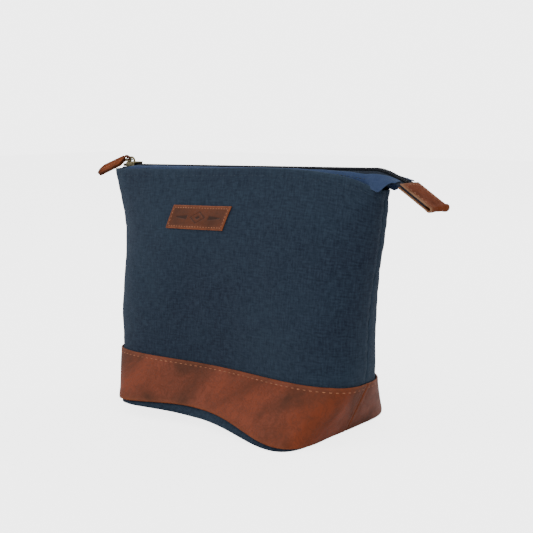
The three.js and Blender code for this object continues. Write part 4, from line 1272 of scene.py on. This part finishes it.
# %% Twill weave
weave, weave_in, weave_out = new_group(
    "twill_weave",
    [("Vector", "Vector", None), ("Rib", "Float", 0.7), ("Slub", "Float", 0.5)],
    [("Height", "Float"), ("Fleck", "Float")])
rib = node(weave, "TexWave", {"Vector": weave_in["Vector"], "Scale": weave_in["Rib"], "Distortion": 2.2,
                              "Detail": 2.0, "Detail Scale": 1.6},
           wave_type="BANDS", bands_direction="DIAGONAL")
weft = node(weave, "Mapping", {"Vector": weave_in["Vector"], "Scale": (0.35, 1.6, 1.0)}).outputs[0]
slub = node(weave, "TexNoise", {"Vector": weft, "Scale": weave_in["Slub"], "Detail": 4.0,
                                "Roughness": 0.65})
warp = node(weave, "Mapping", {"Vector": weave_in["Vector"], "Scale": (1.7, 0.3, 1.0)}).outputs[0]
yarn = node(weave, "TexNoise", {"Vector": warp, "Scale": weave_in["Slub"], "Detail": 4.0,
                                "Roughness": 0.65})
crossed = maths(weave, "ADD", slub.outputs["Fac"], yarn.outputs["Fac"])
height = maths(weave, "ADD", maths(weave, "MULTIPLY", rib.outputs["Fac"], 0.5), crossed)
weave.links.new(height, weave_out["Height"])
weave.links.new(stretch(weave, crossed, 0.78, 1.24), weave_out["Fleck"])

# %% Leather grain
grain, grain_in, grain_out = new_group(
    "leather_grain",
    [("Vector", "Vector", None), ("Pores", "Float", 900.0), ("Creases", "Float", 130.0)],
    [("Height", "Float"), ("Crease", "Float")])
pores = node(grain, "TexVoronoi", {"Vector": grain_in["Vector"], "Scale": grain_in["Pores"],
                                   "Randomness": 1.0}, feature="SMOOTH_F1")
folds = node(grain, "TexNoise", {"Vector": grain_in["Vector"], "Scale": grain_in["Creases"], "Detail": 6.0,
                                 "Roughness": 0.6, "Distortion": 1.4})
ridges = maths(grain, "ABSOLUTE", maths(grain, "SUBTRACT", folds.outputs["Fac"], 0.5))
fine_creases = stretch(grain, ridges, 0.0, 0.05)
grain.links.new(maths(grain, "ADD", maths(grain, "MULTIPLY", pores.outputs["Distance"], 0.6),
                      maths(grain, "MULTIPLY", fine_creases, 0.5)), grain_out["Height"])
grain.links.new(fine_creases, grain_out["Crease"])

# %% Worn edge
wear, wear_in, wear_out = new_group(
    "worn_edge",
    [("Color", "Color", (0, 0, 0, 1)), ("Worn", "Color", (1, 1, 1, 1)), ("Amount", "Float", 0.6),
     ("Vector", "Vector", None), ("Size", "Float", 300.0)], [("Color", "Color"), ("Mask", "Float")])
edge_value = node(wear, "Attribute", attribute_name="edge").outputs["Fac"]
patchy = node(wear, "TexNoise", {"Vector": wear_in["Vector"], "Scale": wear_in["Size"], "Detail": 3.0})
rubbed = maths(wear, "MULTIPLY", edge_value, stretch(wear, patchy.outputs["Fac"], 0.3, 0.6, 0.45, 1.0))
wear_mask = maths(wear, "MULTIPLY", rubbed, wear_in["Amount"])
wear.links.new(blend_colour(wear, wear_mask, wear_in["Color"], wear_in["Worn"]), wear_out["Color"])
wear.links.new(wear_mask, wear_out["Mask"])
print("node groups:", [g.name for g in bpy.data.node_groups])

# %% [markdown]
# ## Materials: the finishes
#
# Washed canvas is matt and a little fuzzy, so its roughness is high, its reflection is low and it
# has a weak sheen. Its dye is uneven over hands' breadths and its yarns are uneven over millimetres.
# Waxed leather is smoother and shinier where it has been handled, browner where the wax has
# gathered, and lighter where it has been bent. Both are built on the groups above.

# %% New material
def new_finish(name, roughness, specular, metallic=0.0, sheen=0.0, coat=0.0):
    """Material with uniform values set on its own shader. Returns it, its tree and its shader."""
    material = bpy.data.materials.new(name)
    material.use_nodes = True
    tree = material.node_tree
    shader = tree.nodes["Principled BSDF"]
    for key, value in (("Roughness", roughness), ("Specular IOR Level", specular), ("Metallic", metallic),
                       ("Sheen Weight", sheen), ("Coat Weight", coat)):
        shader.inputs[key].default_value = value
    return material, tree, shader


def use_group(tree, name, inputs):
    """Adds one of the shared effects, and returns its outputs."""
    made = tree.nodes.new("ShaderNodeGroup")
    made.node_tree = bpy.data.node_groups[name]
    return plug(tree, made, inputs).outputs


def finish_surface(tree, shader, colour, height, strength, depth):
    """Colour into the shader, and a height through a bump. depth is the height's size in metres."""
    tree.links.new(colour, shader.inputs["Base Color"])
    bump = node(tree, "Bump", {"Height": height, "Strength": strength, "Distance": depth})
    tree.links.new(bump.outputs[0], shader.inputs["Normal"])


# %% Woven finishes
def cloth_finish(name, dark, light, fleck, rib=0.7, slub=0.5, dye_size=14.0, contrast=0.16, sheen=0.12):
    """Woven cloth: uneven dye over the piece, paler flecks where a yarn is thick, a twill rib."""
    material, tree, shader = new_finish(name, 0.93, 0.12, sheen=sheen)
    shader.inputs["Sheen Roughness"].default_value = 0.55
    shader.inputs["Sheen Tint"].default_value = (0.55, 0.68, 0.85, 1)
    cloth = node(tree, "UVMap", uv_map="cloth_mm").outputs[0]
    room = node(tree, "TexCoord").outputs["Object"]
    dyed = use_group(tree, "uneven_dye", {"Vector": room, "Size": dye_size, "Dark": dark, "Light": light,
                                          "Contrast": contrast})
    woven = use_group(tree, "twill_weave", {"Vector": cloth, "Rib": rib, "Slub": slub})
    flecked = blend_colour(tree, maths(tree, "MULTIPLY", woven["Fleck"], 0.42), dyed["Color"], fleck)
    worn = use_group(tree, "worn_edge", {"Color": flecked, "Worn": fleck, "Amount": 0.5, "Vector": room,
                                         "Size": 250.0})
    finish_surface(tree, shader, worn["Color"], woven["Height"], 0.55, 0.00035)
    return material


canvas_finish = cloth_finish("washed_navy_canvas", (0.0088, 0.0130, 0.027, 1), (0.0138, 0.0240, 0.041, 1),
                             (0.052, 0.080, 0.118, 1))
gusset_finish = cloth_finish("blue_gusset_canvas", (0.020, 0.032, 0.085, 1), (0.028, 0.050, 0.118, 1),
                             (0.055, 0.088, 0.170, 1), sheen=0.15)
lining_finish = cloth_finish("lining_cloth", (0.010, 0.011, 0.014, 1), (0.016, 0.017, 0.022, 1),
                             (0.026, 0.028, 0.034, 1), rib=1.4, slub=0.9)
tape_finish = cloth_finish("zip_tape_cloth", (0.008, 0.012, 0.022, 1), (0.013, 0.019, 0.032, 1),
                           (0.026, 0.036, 0.056, 1), rib=1.6, slub=1.2)
print("woven finishes made")


# %% Leather finishes
STAMP_COLOUR = (0.030, 0.014, 0.010, 1)


def leather_finish(name, dark, light, rubbed, worn_amount=0.55, roughness=(0.38, 0.58), dye_size=26.0,
                   stamped=False, specular=0.22):
    """Waxed leather: brown where wax gathers, redder where it is thin, paler on its edges, and a
    grain of pores and creases, whose grooves get painted shade. A stamp darkens what it presses."""
    material, tree, shader = new_finish(name, 0.5, specular)
    room = node(tree, "TexCoord").outputs["Object"]
    dyed = use_group(tree, "uneven_dye", {"Vector": room, "Size": dye_size, "Dark": dark, "Light": light,
                                          "Contrast": 0.14})
    grained = use_group(tree, "leather_grain", {"Vector": room, "Pores": 1100.0, "Creases": 120.0})
    # painted shade: the grain's creases are darkened towards the dark colour, by a share of up to 0.35
    deep = maths(tree, "MULTIPLY", maths(tree, "SUBTRACT", 1.0, grained["Crease"]), 0.35)
    crease_shaded = blend_colour(tree, deep, dyed["Color"], dark)
    worn = use_group(tree, "worn_edge", {"Color": crease_shaded, "Worn": rubbed, "Amount": worn_amount,
                                         "Vector": room, "Size": 180.0})
    colour = worn["Color"]
    if stamped:
        pressed = node(tree, "Attribute", attribute_name="pressed").outputs["Fac"]
        colour = blend_colour(tree, maths(tree, "MULTIPLY", pressed, 0.8), colour, STAMP_COLOUR)
    finish_surface(tree, shader, colour, grained["Height"], 0.35, 0.0004)
    tree.links.new(stretch(tree, dyed["Mask"], 0.0, 1.0, roughness[1], roughness[0]),
                   shader.inputs["Roughness"])
    return material


band_finish = leather_finish("waxed_band_leather", (0.080, 0.022, 0.008, 1), (0.215, 0.040, 0.0115, 1),
                             (0.300, 0.085, 0.030, 1))
trim_finish = leather_finish("waxed_trim_leather", (0.130, 0.030, 0.009, 1), (0.270, 0.060, 0.015, 1),
                             (0.045, 0.020, 0.012, 1), 0.75, (0.6, 0.75), 60.0, specular=0.06)
tab_finish = leather_finish("tab_leather_finish", (0.110, 0.024, 0.007, 1), (0.205, 0.046, 0.013, 1),
                            (0.330, 0.200, 0.120, 1), 0.75, (0.6, 0.75), 60.0, specular=0.06)
patch_finish = leather_finish("stamped_patch_leather", (0.070, 0.024, 0.012, 1), (0.120, 0.034, 0.014, 1),
                              (0.330, 0.090, 0.030, 1), 0.9, dye_size=60.0, stamped=True)
print("leather finishes made")


# %% Thread, coil and metal
def thread_finish(name, dark, light):
    """Waxed thread: short dark and light bands where its strands twist round each other."""
    material, tree, shader = new_finish(name, 0.62, 0.3, sheen=0.1)
    room = node(tree, "TexCoord").outputs["Object"]
    twist = node(tree, "TexWave", {"Vector": room, "Scale": 420.0, "Distortion": 1.0},
                 wave_type="BANDS", bands_direction="DIAGONAL").outputs["Fac"]
    dyed = use_group(tree, "uneven_dye", {"Vector": room, "Size": 90.0, "Dark": dark, "Light": light,
                                          "Contrast": 0.2})
    colour = blend_colour(tree, maths(tree, "MULTIPLY", twist, 0.35), dyed["Color"], dark)
    finish_surface(tree, shader, colour, twist, 0.4, 0.0001)
    return material


tan_finish = thread_finish("tan_thread", (0.240, 0.080, 0.035, 1), (0.480, 0.190, 0.090, 1))
navy_finish = thread_finish("navy_thread", (0.016, 0.026, 0.042, 1), (0.042, 0.066, 0.092, 1))
coil_finish = thread_finish("zip_coil_nylon", (0.006, 0.009, 0.015, 1), (0.016, 0.022, 0.034, 1))

brass_finish, tree, shader = new_finish("antique_brass", 0.4, 0.5, metallic=1.0)
room = node(tree, "TexCoord").outputs["Object"]
patina = use_group(tree, "uneven_dye", {"Vector": room, "Size": 420.0, "Dark": (0.050, 0.045, 0.026, 1),
                                        "Light": (0.330, 0.280, 0.160, 1), "Contrast": 0.16})
finish_surface(tree, shader, patina["Color"], patina["Mask"], 0.15, 0.0001)
tree.links.new(stretch(tree, patina["Mask"], 0.0, 1.0, 0.55, 0.28), shader.inputs["Roughness"])
print("materials:", len(bpy.data.materials))

# %% [markdown]
# ## Dressing the pieces
#
# Each piece takes one finish.

# %% Finishes
def dress(pieces, finish):
    """Gives the pieces a finish."""
    for piece in pieces:
        piece.data.materials.append(finish)


dress([*canvas_pieces.values(), base_piece], canvas_finish)
dress(gusset_pieces.values(), gusset_finish)
dress([*lining_pieces.values(), base_lining_piece], lining_finish)
dress([*tape_pieces.values(), tape_end_piece], tape_finish)
dress([*coil_pieces.values(), *cord_pieces.values()], coil_finish)
dress(leather_pieces.values(), band_finish)
dress([pull_piece], trim_finish)
dress([tab_piece], tab_finish)
dress([patch_piece], patch_finish)
dress(TAN_ROWS, tan_finish)
dress(NAVY_ROWS, navy_finish)
dress([slider_piece, ring_piece, *stop_pieces.values()], brass_finish)

# %% [markdown]
# ## What moves with what
#
# The leather foot and the base stand still. Each piece of a wall only has its transform baked.
# The slider, its ring, the pull and the tab each hang on a body of their own.

# %% Bodies
for side in ("front", "back"):
    for pieces, part in ((canvas_pieces, "canvas_panel"), (lining_pieces, "lining"),
                         (tape_pieces, "zip_tape"), (gusset_pieces, "zip_gusset"),
                         (coil_pieces, "zip_coil"), (stop_pieces, "zip_top_stop")):
        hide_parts(f"{side}_{part}")
        opens_with(pieces[side])
    opens_with(cord_pieces[side])
    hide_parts(f"{side}_leather_band")
    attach(leather_pieces[side], "bag_base")
for piece, part, body in ((base_piece, "base_canvas_panel", "bag_base"),
                          (base_lining_piece, "base_lining", "bag_base"),
                          (slider_piece, "slider_body", "zip_slider"),
                          (ring_piece, "pull_ring", "slider_ring"),
                          (pull_piece, "leather_pull", "zip_pull"),
                          (tab_piece, "tail_tab", "zip_tail")):
    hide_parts(part)
    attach(piece, body)
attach(tape_end_piece, "zip_tail")
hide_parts("name_patch")
opens_with(patch_piece)
